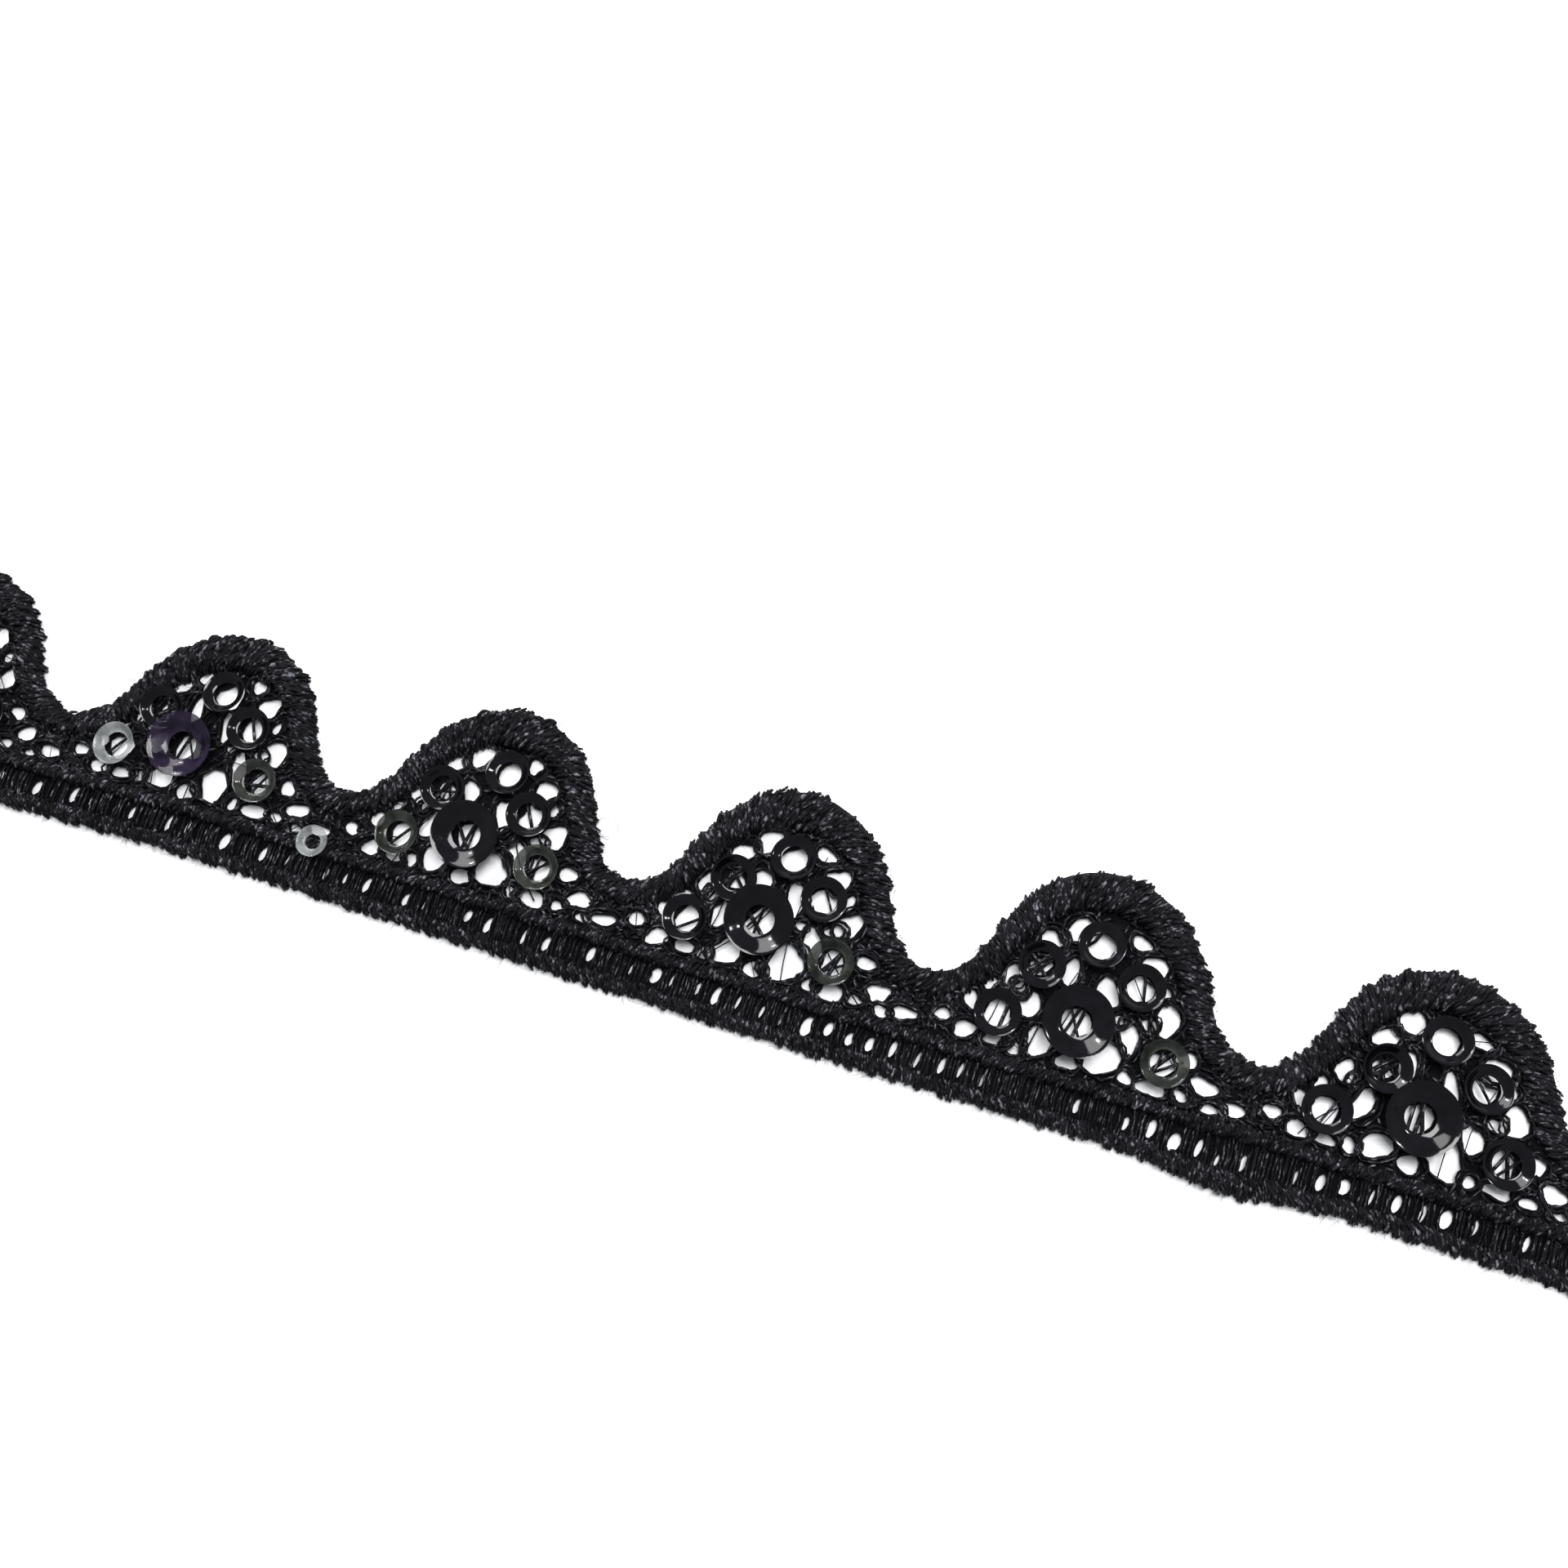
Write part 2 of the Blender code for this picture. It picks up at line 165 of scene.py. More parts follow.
@dataclass(frozen=True)
class ThreadFinish:
    """Matt spun thread whose base colour carries a mass of small grey painted highlights, glints standing in
    for where its filaments catch light.
    """

    name: str = "black_thread"
    deep: tuple = (0.0015, 0.0015, 0.0022)
    body: tuple = (0.010, 0.010, 0.013)
    painted_glint: tuple = (0.230, 0.235, 0.265)
    along: float = 1.3
    around: float = 1.2
    roughness: tuple = (0.55, 0.9)
    bump: float = 0.6

    def material(self) -> bpy.types.Material:
        """Make the material, which follows each thread's own UV map."""
        recipe = Recipe(self.name)
        place = recipe.add("ShaderNodeUVMap", uv_map="thread")
        stretch = recipe.add("ShaderNodeMapping", {"Scale": (self.along, self.around, 1.0)})
        recipe.join(place.outputs["UV"], stretch.inputs["Vector"])
        fine = recipe.add("ShaderNodeTexNoise", {"Scale": 1.0, "Detail": 3.0, "Roughness": 0.6})
        recipe.join(stretch.outputs["Vector"], fine.inputs["Vector"])
        # The top stop is a painted highlight: small grey glints painted into the base colour, over random
        # dark tone.
        stops = [(0.34, self.deep), (0.50, self.body), (0.56, self.body), (0.70, self.painted_glint)]
        tone_and_painted_glint = recipe.ramp(fine.outputs["Fac"], stops)
        whole = recipe.add("ShaderNodeTexCoord")
        patch = recipe.add("ShaderNodeTexNoise", {"Scale": 420.0, "Detail": 2.0})
        recipe.join(whole.outputs["Object"], patch.inputs["Vector"])
        shade = recipe.ramp(patch.outputs["Fac"], [(0.35, (0.45, 0.45, 0.45)), (0.65, (1.0, 1.0, 1.0))])
        mix = recipe.add("ShaderNodeMix", {"Factor": 1.0}, data_type="RGBA", blend_type="MULTIPLY")
        recipe.join(tone_and_painted_glint, mix.inputs["A"])
        recipe.join(shade, mix.inputs["B"])
        recipe.join(mix.outputs["Result"], recipe.shader.inputs["Base Color"])
        recipe.join(recipe.spread(fine.outputs["Fac"], *self.roughness), recipe.shader.inputs["Roughness"])
        twist = recipe.add("ShaderNodeMapping", {"Scale": (3.2, 1.0, 1.0), "Rotation": (0.0, 0.0, 0.5)})
        recipe.join(place.outputs["UV"], twist.inputs["Vector"])
        ply = recipe.add("ShaderNodeTexWave", {"Scale": 1.0, "Distortion": 1.5, "Detail": 1.0})
        recipe.join(twist.outputs["Vector"], ply.inputs["Vector"])
        relief = recipe.add("ShaderNodeBump", {"Strength": self.bump, "Distance": 0.04 * MM})
        recipe.join(ply.outputs["Fac"], relief.inputs["Height"])
        recipe.join(relief.outputs["Normal"], recipe.shader.inputs["Normal"])
        recipe.shader_values(Specular_IOR_Level=0.10)
        return recipe.material


@dataclass(frozen=True)
class GroundFinish:
    """The dark tangle of stitches that the lace is built on."""

    name: str = "lace_ground"
    dark: tuple = (0.001, 0.001, 0.0014)
    light: tuple = (0.007, 0.007, 0.009)
    scale: float = 3600.0

    def material(self) -> bpy.types.Material:
        """Make the material, on the piece's own coordinates."""
        recipe = Recipe(self.name)
        place = recipe.add("ShaderNodeTexCoord")
        grain = recipe.add("ShaderNodeTexNoise", {"Scale": self.scale, "Detail": 4.0, "Roughness": 0.65})
        recipe.join(place.outputs["Object"], grain.inputs["Vector"])
        colour = recipe.ramp(grain.outputs["Fac"], [(0.45, self.dark), (0.75, self.light)])
        recipe.join(colour, recipe.shader.inputs["Base Color"])
        recipe.join(recipe.spread(grain.outputs["Fac"], 0.6, 1.0), recipe.shader.inputs["Roughness"])
        relief = recipe.add("ShaderNodeBump", {"Strength": 0.8, "Distance": 0.08 * MM})
        recipe.join(grain.outputs["Fac"], relief.inputs["Height"])
        recipe.join(relief.outputs["Normal"], recipe.shader.inputs["Normal"])
        recipe.shader_values(Specular_IOR_Level=0.05)
        return recipe.material


@dataclass(frozen=True)
class PlasticFinish:
    """Glossy moulded plastic, more or less see-through, with faint handling marks."""

    name: str
    slot: str
    dark: tuple
    light: tuple
    see_through: float
    gloss: float = 0.35
    roughness: tuple = (0.04, 0.16)

    def material(self) -> bpy.types.Material:
        """Make the material, on the piece's own coordinates."""
        recipe = Recipe(self.name)
        place = recipe.add("ShaderNodeTexCoord")
        cloud = recipe.add("ShaderNodeTexNoise", {"Scale": 700.0, "Detail": 3.0})
        recipe.join(place.outputs["Object"], cloud.inputs["Vector"])
        colour = recipe.ramp(cloud.outputs["Fac"], [(0.35, self.dark), (0.70, self.light)])
        recipe.join(colour, recipe.shader.inputs["Base Color"])
        mark = recipe.add("ShaderNodeTexNoise", {"Scale": 2600.0, "Detail": 2.0})
        recipe.join(place.outputs["Object"], mark.inputs["Vector"])
        recipe.join(recipe.spread(mark.outputs["Fac"], *self.roughness), recipe.shader.inputs["Roughness"])
        relief = recipe.add("ShaderNodeBump", {"Strength": 0.12, "Distance": 0.03 * MM})
        recipe.join(mark.outputs["Fac"], relief.inputs["Height"])
        recipe.join(relief.outputs["Normal"], recipe.shader.inputs["Normal"])
        recipe.shader_values(IOR=1.49, Alpha=1.0 - self.see_through, Specular_IOR_Level=self.gloss)
        return recipe.material


@dataclass(frozen=True)
class TableFinish:
    """A pale, faintly grained table top."""

    name: str = "pale_table"
    dark: tuple = (0.80, 0.80, 0.81)
    light: tuple = (0.86, 0.86, 0.865)

    def material(self) -> bpy.types.Material:
        """Make the material, on the table's own coordinates."""
        recipe = Recipe(self.name)
        place = recipe.add("ShaderNodeTexCoord")
        cloud = recipe.add("ShaderNodeTexNoise", {"Scale": 25.0, "Detail": 3.0})
        recipe.join(place.outputs["Object"], cloud.inputs["Vector"])
        colour = recipe.ramp(cloud.outputs["Fac"], [(0.35, self.dark), (0.60, self.light)])
        recipe.join(colour, recipe.shader.inputs["Base Color"])
        grain = recipe.add("ShaderNodeTexNoise", {"Scale": 2200.0, "Detail": 2.0})
        recipe.join(place.outputs["Object"], grain.inputs["Vector"])
        relief = recipe.add("ShaderNodeBump", {"Strength": 0.08, "Distance": 0.05 * MM})
        recipe.join(grain.outputs["Fac"], relief.inputs["Height"])
        recipe.join(relief.outputs["Normal"], recipe.shader.inputs["Normal"])
        recipe.shader_values(Roughness=0.6, Specular_IOR_Level=0.3)
        return recipe.material


@dataclass
class Tape:
    """The waved line that the trim's lower edge follows, and places measured from it."""

    pitch: float = 27.5 * MM
    squares: int = SQUARES
    wave: tuple = (0.0125, 0.0011, -0.0041)
    shift: tuple = (-0.0011539, -0.009724)
    samples: int = 4001

    def __post_init__(self) -> None:
        """Work out the line once."""
        self.square = self.pitch / self.squares
        reach = (REPEATS.stop + 1) * self.pitch
        self.along = np.linspace(-reach, reach, self.samples)
        turns = self.along / self.pitch
        self.angle = self.wave[0] * turns + self.wave[1] * turns ** 2 + self.wave[2] * turns ** 3
        step = self.along[1] - self.along[0]
        self.x = np.cumsum(np.cos(self.angle)) * step
        self.y = np.cumsum(np.sin(self.angle)) * step
        middle = self.samples // 2
        self.x -= self.x[middle]
        self.y -= self.y[middle]

    def place(self, column: np.ndarray, v: np.ndarray) -> np.ndarray:
        """Points on the table.

        Args:
            column: chart columns, counted from the middle repeat.
            v: chart squares up from the header's lower edge.

        Returns:
            Rows of (x, y) in metres.
        """
        along = np.asarray(column, float) * self.square
        across = np.asarray(v, float) * self.square
        angle = np.interp(along, self.along, self.angle)
        x = np.interp(along, self.along, self.x) - across * np.sin(angle) + self.shift[0]
        y = np.interp(along, self.along, self.y) + across * np.cos(angle) + self.shift[1]
        return np.stack([x, y], axis=-1)

    def heading(self, column: np.ndarray) -> np.ndarray:
        """The tape's angle at chart columns."""
        return np.interp(np.asarray(column, float) * self.square, self.along, self.angle)


@dataclass
class RowLine:
    """The middle line of a corded row at even steps, with its width and its two directions."""

    centre: np.ndarray
    width: np.ndarray
    run: np.ndarray
    out: np.ndarray
    along: np.ndarray

    @classmethod
    def through(cls, points: np.ndarray, width: np.ndarray, step: float, side: float = 1.0) -> "RowLine":
        """A row through points.

        Args:
            points: rows of (x, y).
            width: the row's width at each point.
            step: the spacing of the result.
            side: 1 where the outer edge is on the left of the run, -1 where on the right.

        Returns:
            The row at even steps.
        """
        lengths = np.linalg.norm(np.diff(points, axis=0), axis=1)
        travelled = np.concatenate([[0.0], np.cumsum(lengths)])
        along = np.arange(0.0, travelled[-1], step)
        centre = np.stack([np.interp(along, travelled, points[:, axis]) for axis in (0, 1)], axis=1)
        wide = np.interp(along, travelled, width)
        run = np.gradient(centre, axis=0)
        run /= np.linalg.norm(run, axis=1, keepdims=True)
        out = side * np.stack([-run[:, 1], run[:, 0]], axis=1)
        return cls(centre, wide, run, out, along)


@dataclass
class ThreadMesh:
    """Threads gathered as arrays and joined into one mesh of fine tubes."""

    name: str
    corners: list = field(default_factory=list)
    quads: list = field(default_factory=list)
    quad_uvs: list = field(default_factory=list)
    caps: list = field(default_factory=list)
    cap_uvs: list = field(default_factory=list)
    count: int = 0
    threads: int = 0

    def add(self, paths: np.ndarray, radius: np.ndarray | float, across: np.ndarray, sides: int,
            closed: bool = False) -> None:
        """Add threads that have the same number of points.

        Args:
            paths: array of (thread, point, xyz).
            radius: one radius, or an array of (thread, point).
            across: a direction that is never along the threads, one or a row for each.
            sides: sides of the tubes.
            closed: whether the threads are rings.
        """
        threads, points, _ = paths.shape
        radius = np.broadcast_to(np.asarray(radius, float), (threads, points))
        if closed:
            tangent = np.roll(paths, -1, axis=1) - np.roll(paths, 1, axis=1)
        else:
            tangent = np.gradient(paths, axis=1)
        tangent /= np.linalg.norm(tangent, axis=2, keepdims=True)
        first = np.broadcast_to(np.reshape(across, (-1, 1, 3)), paths.shape)
        first = first - np.sum(first * tangent, axis=2, keepdims=True) * tangent
        first /= np.linalg.norm(first, axis=2, keepdims=True)
        second = np.cross(tangent, first)
        turn = np.arange(sides) * 2 * math.pi / sides
        ring = np.cos(turn)[:, None] * first[:, :, None] + np.sin(turn)[:, None] * second[:, :, None]
        spots = paths[:, :, None] + radius[:, :, None, None] * ring
        self.corners.append(spots.reshape(-1, 3))
        self._join_rings(paths, threads, points, sides, closed)
        self.count += threads * points * sides
        self.threads += threads

    def lay(self, plan: np.ndarray, level: np.ndarray, radius: np.ndarray, closed: bool = False) -> None:
        """Add four-sided threads along a plan.

        Args:
            plan: array of (thread, point, xy).
            level: array of (thread, point), the height above the table.
            radius: as in add.
            closed: as in add.
        """
        self.add(np.concatenate([plan, level[..., None]], axis=2), radius, UP, 4, closed)

    def _join_rings(self, paths: np.ndarray, threads: int, points: int, sides: int, closed: bool) -> None:
        """Add the faces and UVs of the threads whose corners were just added.

        Args:
            paths: array of (thread, point, xyz).
            threads: how many threads.
            points: how many points in each.
            sides: sides of the tubes.
            closed: whether the threads are rings.
        """
        spans = points if closed else points - 1
        ranges = (np.arange(threads), np.arange(spans), np.arange(sides))
        thread, span, side = np.meshgrid(*ranges, indexing="ij")
        after, beside = (span + 1) % points, (side + 1) % sides

        def corner(along: np.ndarray, around: np.ndarray) -> np.ndarray:
            """The number of the corner at a point of a thread and a side of its tube."""
            return self.count + (thread * points + along) * sides + around

        quads = np.stack([corner(span, side), corner(span, beside), corner(after, beside),
                          corner(after, side)], axis=-1)
        self.quads.append(quads.reshape(-1, 4))
        steps = np.linalg.norm(np.roll(paths, -1, axis=1) - paths, axis=2)[:, :spans] / MM
        far = np.cumsum(steps, axis=1)
        near = far - steps
        number = self.threads + np.arange(threads)[:, None, None]
        near = near[:, :, None] + number * PATTERN_ALONG
        far = far[:, :, None] + number * PATTERN_ALONG
        low = side / sides + (number * PATTERN_AROUND) % PATTERN_REACH
        high = low + 1.0 / sides
        near, far = (np.broadcast_to(value, low.shape) for value in (near, far))
        uvs = np.stack([np.stack([near, low], -1), np.stack([near, high], -1), np.stack([far, high], -1),
                        np.stack([far, low], -1)], axis=-2)
        self.quad_uvs.append(uvs.reshape(-1, 2))
        if not closed:
            base = self.count + np.arange(threads)[:, None] * points * sides
            start = base + np.arange(sides)[::-1]
            end = base + (points - 1) * sides + np.arange(sides)
            faces = np.concatenate([start, end])
            self.caps.append(faces)
            self.cap_uvs.append(np.zeros((faces.size, 2)))

    def build(self, finish: bpy.types.Material) -> bpy.types.Object:
        """Make the object.

        Args:
            finish: its material.

        Returns:
            One mesh object, smooth, that rides on the trim.
        """
        corners = np.concatenate(self.corners)
        flat = [quad.reshape(-1) for quad in self.quads] + [cap.reshape(-1) for cap in self.caps]
        sizes = [np.full(len(face), face.shape[1]) for face in self.quads + self.caps]
        loops, sizes = np.concatenate(flat), np.concatenate(sizes)
        mesh = bpy.data.meshes.new(self.name)
        mesh.vertices.add(len(corners))
        mesh.vertices.foreach_set("co", corners.astype(np.float32).ravel())
        mesh.loops.add(len(loops))
        mesh.loops.foreach_set("vertex_index", loops.astype(np.int32))
        mesh.polygons.add(len(sizes))
        starts = np.concatenate([[0], np.cumsum(sizes)[:-1]])
        mesh.polygons.foreach_set("loop_start", starts.astype(np.int32))
        mesh.update(calc_edges=True)
        layer = mesh.uv_layers.new(name="thread")
        uvs = np.concatenate(self.quad_uvs + self.cap_uvs)
        layer.data.foreach_set("uv", uvs.astype(np.float32).ravel())
        mesh.validate()
        piece = bpy.data.objects.new(self.name, mesh)
        bpy.context.scene.collection.objects.link(piece)
        pick(piece)
        bpy.ops.object.shade_smooth()
        dress(piece, finish)
        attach(piece, BODY)
        log.info("%s: %d threads, %d faces", self.name, self.threads, len(sizes))
        return piece


@dataclass(frozen=True)
class Stitch:
    """How a corded row is wrapped. Lengths in metres."""

    pitch: float
    radius: float
    height: float
    lift: float
    bundle: tuple
    outward: tuple
    inward: tuple
    slant: tuple
    inset: tuple
    stroke_length: tuple
    stroke_radius: tuple
    stroke_slant: tuple
    stroke_arch: tuple = (0.10 * MM, 0.34 * MM)
    stray: float = 0.04 * MM
    sag: float = 0.08 * MM
    crown: float = 0.85
    top_angles: int = 9
    over: tuple = (-8.0, 188.0)
    under: tuple = (228.0, 270.0, 312.0)

    def height_of(self, line: RowLine) -> np.ndarray:
        """The wrapped row's height at each of its steps, in proportion to its width."""
        return self.height * line.width / line.width.max()

    def edges(self, line: RowLine, rng: np.random.Generator) -> tuple[np.ndarray, np.ndarray, np.ndarray]:
        """Gather the stitches in bundles that swell past the row's edges.

        Args:
            line: the row.
            rng: the row's own random numbers.

        Returns:
            For each stitch, how far it goes past the outer edge, past the inner edge, and its
            place in bundles, whose whole part numbers the bundle.
        """
        ends = [0.0]
        while ends[-1] <= line.along[-1]:
            ends.append(ends[-1] + rng.uniform(*self.bundle))
        ends = np.array(ends)
        bundle = np.searchsorted(ends, line.along, side="right") - 1
        phase = (line.along - ends[bundle]) / (ends[bundle + 1] - ends[bundle])
        swell = np.sin(math.pi * phase ** 1.35) ** 0.7
        outward = rng.uniform(*self.outward, len(ends))[bundle] * swell - self.inset[0]
        inward = rng.uniform(*self.inward, len(ends))[bundle] * swell - self.inset[1]
        return outward, inward, bundle + phase

    def wrap(self, threads: ThreadMesh, line: RowLine, edges: tuple, rng: np.random.Generator) -> None:
        """Wrap a row in ring stitches, in bundles that swell and lean differently.

        Args:
            threads: where the stitches are added.
            line: the row.
            edges: the row's bundles.
            rng: the row's own random numbers.
        """
        count = len(line.along)
        outward, inward, place = edges
        bundle = place.astype(int)
        swell = np.sin(math.pi * (place - bundle)) ** 0.6
        kinds = bundle.max() + 2
        outward = outward + rng.normal(0.0, self.stray, count)
        inward = inward + rng.normal(0.0, self.stray, count)
        slants = rng.uniform(*self.slant, kinds)
        slant = np.interp(place, np.arange(kinds) + 0.5, slants)
        tall = rng.uniform(0.90, 1.06, kinds)[bundle] * (0.90 + 0.10 * swell)
        height = self.height_of(line) * tall
        angle = np.radians(np.concatenate([np.linspace(*self.over, self.top_angles), self.under]))
        cosine, sine = np.cos(angle), np.sin(angle)
        half = line.width / 2 - self.radius
        across = half[:, None] * cosine
        across = across + outward[:, None] * np.clip(cosine, 0, 1) - inward[:, None] * np.clip(-cosine, 0, 1)
        rise = height[:, None] * np.clip(sine, 0, 1) ** self.crown
        level = self.lift + rise + self.sag * np.clip(sine, -1, 0)
        level = np.maximum(level, self.radius)
        lean = slant[:, None] * across
        plan = (line.centre[:, None] + line.out[:, None] * across[..., None]
                + line.run[:, None] * lean[..., None])
        paths = np.concatenate([plan, level[..., None]], axis=2)
        thick = self.radius * rng.uniform(0.85, 1.15, (count, 1)) * np.ones(len(angle))
        side = np.concatenate([line.run, np.zeros((count, 1))], axis=1)
        threads.add(paths, thick, side, 4, closed=True)

    def strokes(self, threads: ThreadMesh, line: RowLine, edges: tuple, rng: np.random.Generator,
                count: int) -> None:
        """Lay short, fat, slanting runs of thread over a wrapped row, each one arched.

        Args:
            threads: where the runs are added.
            line: the row.
            edges: the row's bundles.
            rng: the row's own random numbers.
            count: how many.
        """
        index = rng.integers(2, len(line.along) - 2, count)
        half = line.width[index] / 2
        length = rng.uniform(*self.stroke_length, count)
        top = half + edges[0][index] - 0.40 * length
        bottom = -half - edges[1][index] + 0.40 * length
        middle = bottom + (top - bottom) * rng.random(count)
        share = np.linspace(-0.5, 0.5, 6)
        across = middle[:, None] + length[:, None] * share
        lean = rng.uniform(*self.stroke_slant, count)[:, None] * length[:, None] * share
        plan = (line.centre[index][:, None] + line.out[index][:, None] * across[..., None]
                + line.run[index][:, None] * lean[..., None])
        height = self.height_of(line)[index]
        dome = np.sqrt(np.clip(1.0 - (across / half[:, None]) ** 2, 0.03, 1.0)) ** self.crown
        arch = np.cos(math.pi * share) ** 0.7
        proud = rng.uniform(*self.stroke_arch, count)
        level = self.lift + height[:, None] * dome * 0.94 + proud[:, None] * arch - 0.06 * MM
        paths = np.concatenate([plan, level[..., None]], axis=2)
        side = np.concatenate([line.run[index], np.zeros((count, 1))], axis=1)
        radius = rng.uniform(*self.stroke_radius, (count, 1)) * (0.55 + 0.45 * arch)
        threads.add(paths, radius, side, 4)

    def core(self, threads: ThreadMesh, line: RowLine, every: int) -> None:
        """Fill the inside of a wrapped row with one thick padding cord.

        Args:
            threads: where the cord is added.
            line: the row.
            every: how many of the row's steps make one of the cord's.
        """
        centre, width = line.centre[::every], line.width[::every]
        height = self.height_of(line)[::every]
        paths = np.concatenate([centre, (self.lift + 0.38 * height)[:, None]], axis=1)[None]
        count = len(centre)
        before = len(threads.corners)
        threads.add(paths, 1.0, UP, 8)
        spots = threads.corners[before].reshape(count, 8, 3)
        offset = spots - paths[0][:, None]
        offset[..., :2] *= (width / 2 - 2.2 * self.radius)[:, None, None]
        offset[..., 2] *= (0.52 * height - 1.2 * self.radius)[:, None]
        threads.corners[before] = (paths[0][:, None] + offset).reshape(-1, 3)


@dataclass
class Border:
    """The scalloped satin border: a padding cord wrapped in bundles of stitches.

    The middle line's table has columns u, v and width in chart squares, for one repeat. The sway
    says how far each repeat's crest leans along and rises.
    """

    rows: tuple = (
        (-11.8, 7.9, 2.4),
        (-9.4, 8.7, 2.5),
        (-7.7, 10.4, 2.6),
        (-6.5, 12.6, 2.7),
        (-5.3, 14.8, 3.0),
        (-3.6, 16.7, 3.3),
        (-1.3, 18.0, 3.5),
        (1.2, 18.4, 3.6),
        (3.7, 17.9, 3.4),
        (5.9, 16.6, 3.2),
        (7.7, 14.4, 2.9),
        (8.9, 12.0, 2.7),
        (10.1, 9.9, 2.6),
        (11.8, 8.4, 2.5),
    )
    sway: dict = field(default_factory=lambda: {
        -2: (0.8, -0.5), -1: (0.5, -0.1), 0: (0.1, 0.1), 1: (-0.2, 0.5), 2: (0.0, 0.1)})
    steps: int = 120
    ground_steps: int = 40
    ground_reach: float = 0.30
    cut_end: float = 0.25
    runs: int = 4400
    stitch: Stitch = Stitch(
        pitch=0.25 * MM, radius=0.135 * MM, height=1.42 * MM, lift=0.24 * MM,
        bundle=(0.85 * MM, 1.5 * MM), outward=(0.25 * MM, 0.80 * MM), inward=(0.05 * MM, 0.40 * MM),
        slant=(0.15, 0.60), inset=(0.52 * MM, 0.25 * MM), stroke_length=(0.6 * MM, 1.25 * MM),
        stroke_radius=(0.14 * MM, 0.22 * MM), stroke_slant=(0.3, 1.1))

    def row_at(self, position: float) -> tuple[float, float, float]:
        """(u, v, width) at a share of one repeat, on a smooth curve through the table."""
        count = len(self.rows)
        index = math.floor(position * count)
        part = position * count - index
        near = []
        for step in (-1, 0, 1, 2):
            wrapped, turn = (index + step) % count, (index + step) // count
            u, v, width = self.rows[wrapped]
            near.append(Vector((u + turn * SQUARES, v, width)))
        before, start, end, after = near
        point = 0.5 * (2 * start + (end - before) * part
                       + (2 * before - 5 * start + 4 * end - after) * part ** 2
                       + (3 * start - before - 3 * end + after) * part ** 3)
        return point.x, point.y, point.z

    def chart_line(self, steps: int) -> np.ndarray:
        """The whole middle line: rows of (column, v, width), at steps to a repeat."""
        low = self.rows[0][1]
        high = max(v for _, v, _ in self.rows)
        line = []
        for repeat in REPEATS:
            sway_u, sway_v = self.sway.get(repeat, (0.0, 0.0))
            for step in range(steps):
                u, v, width = self.row_at(step / steps)
                share = (v - low) / (high - low)
                line.append((u + repeat * SQUARES + sway_u * share, v + sway_v * share, width))
        u, v, width = self.row_at(0.0)
        line.append((u + REPEATS.stop * SQUARES, v, width))
        return np.array(line)

    def line(self, tape: Tape) -> RowLine:
        """The border's middle line on the table, at the spacing of its stitches."""
        chart = self.chart_line(self.steps)
        first, last = chart[0, 0] + self.cut_end, chart[-1, 0] - self.cut_end
        chart = chart[(chart[:, 0] > first) & (chart[:, 0] < last)]
        points = tape.place(chart[:, 0], chart[:, 1])
        return RowLine.through(points, chart[:, 2] * tape.square, self.stitch.pitch)

    def ground_edge(self, tape: Tape) -> np.ndarray:
        """The edge of the ground sheet, hidden under the border."""
        chart = self.chart_line(self.ground_steps)
        run = np.gradient(chart[:, :2], axis=0)
        run /= np.linalg.norm(run, axis=1, keepdims=True)
        run[[0, -1]] = (1.0, 0.0)
        reach = self.ground_reach * chart[:, 2]
        return tape.place(chart[:, 0] - run[:, 1] * reach, chart[:, 1] + run[:, 0] * reach)

    def build(self, tape: Tape, thread: bpy.types.Material) -> list[bpy.types.Object]:
        """Make the border.

        Args:
            tape: where the trim lies.
            thread: the thread's material.

        Returns:
            Its pieces.
        """
        line = self.line(tape)
        rng = np.random.default_rng(11)
        edges = self.stitch.edges(line, rng)
        rings = ThreadMesh("border_stitches")
        self.stitch.wrap(rings, line, edges, rng)
        loose = ThreadMesh("border_top_stitches")
        self.stitch.strokes(loose, line, edges, rng, self.runs)
        core = ThreadMesh("border_padding")
        self.stitch.core(core, line, 5)
        return [part.build(thread) for part in (core, rings, loose)]


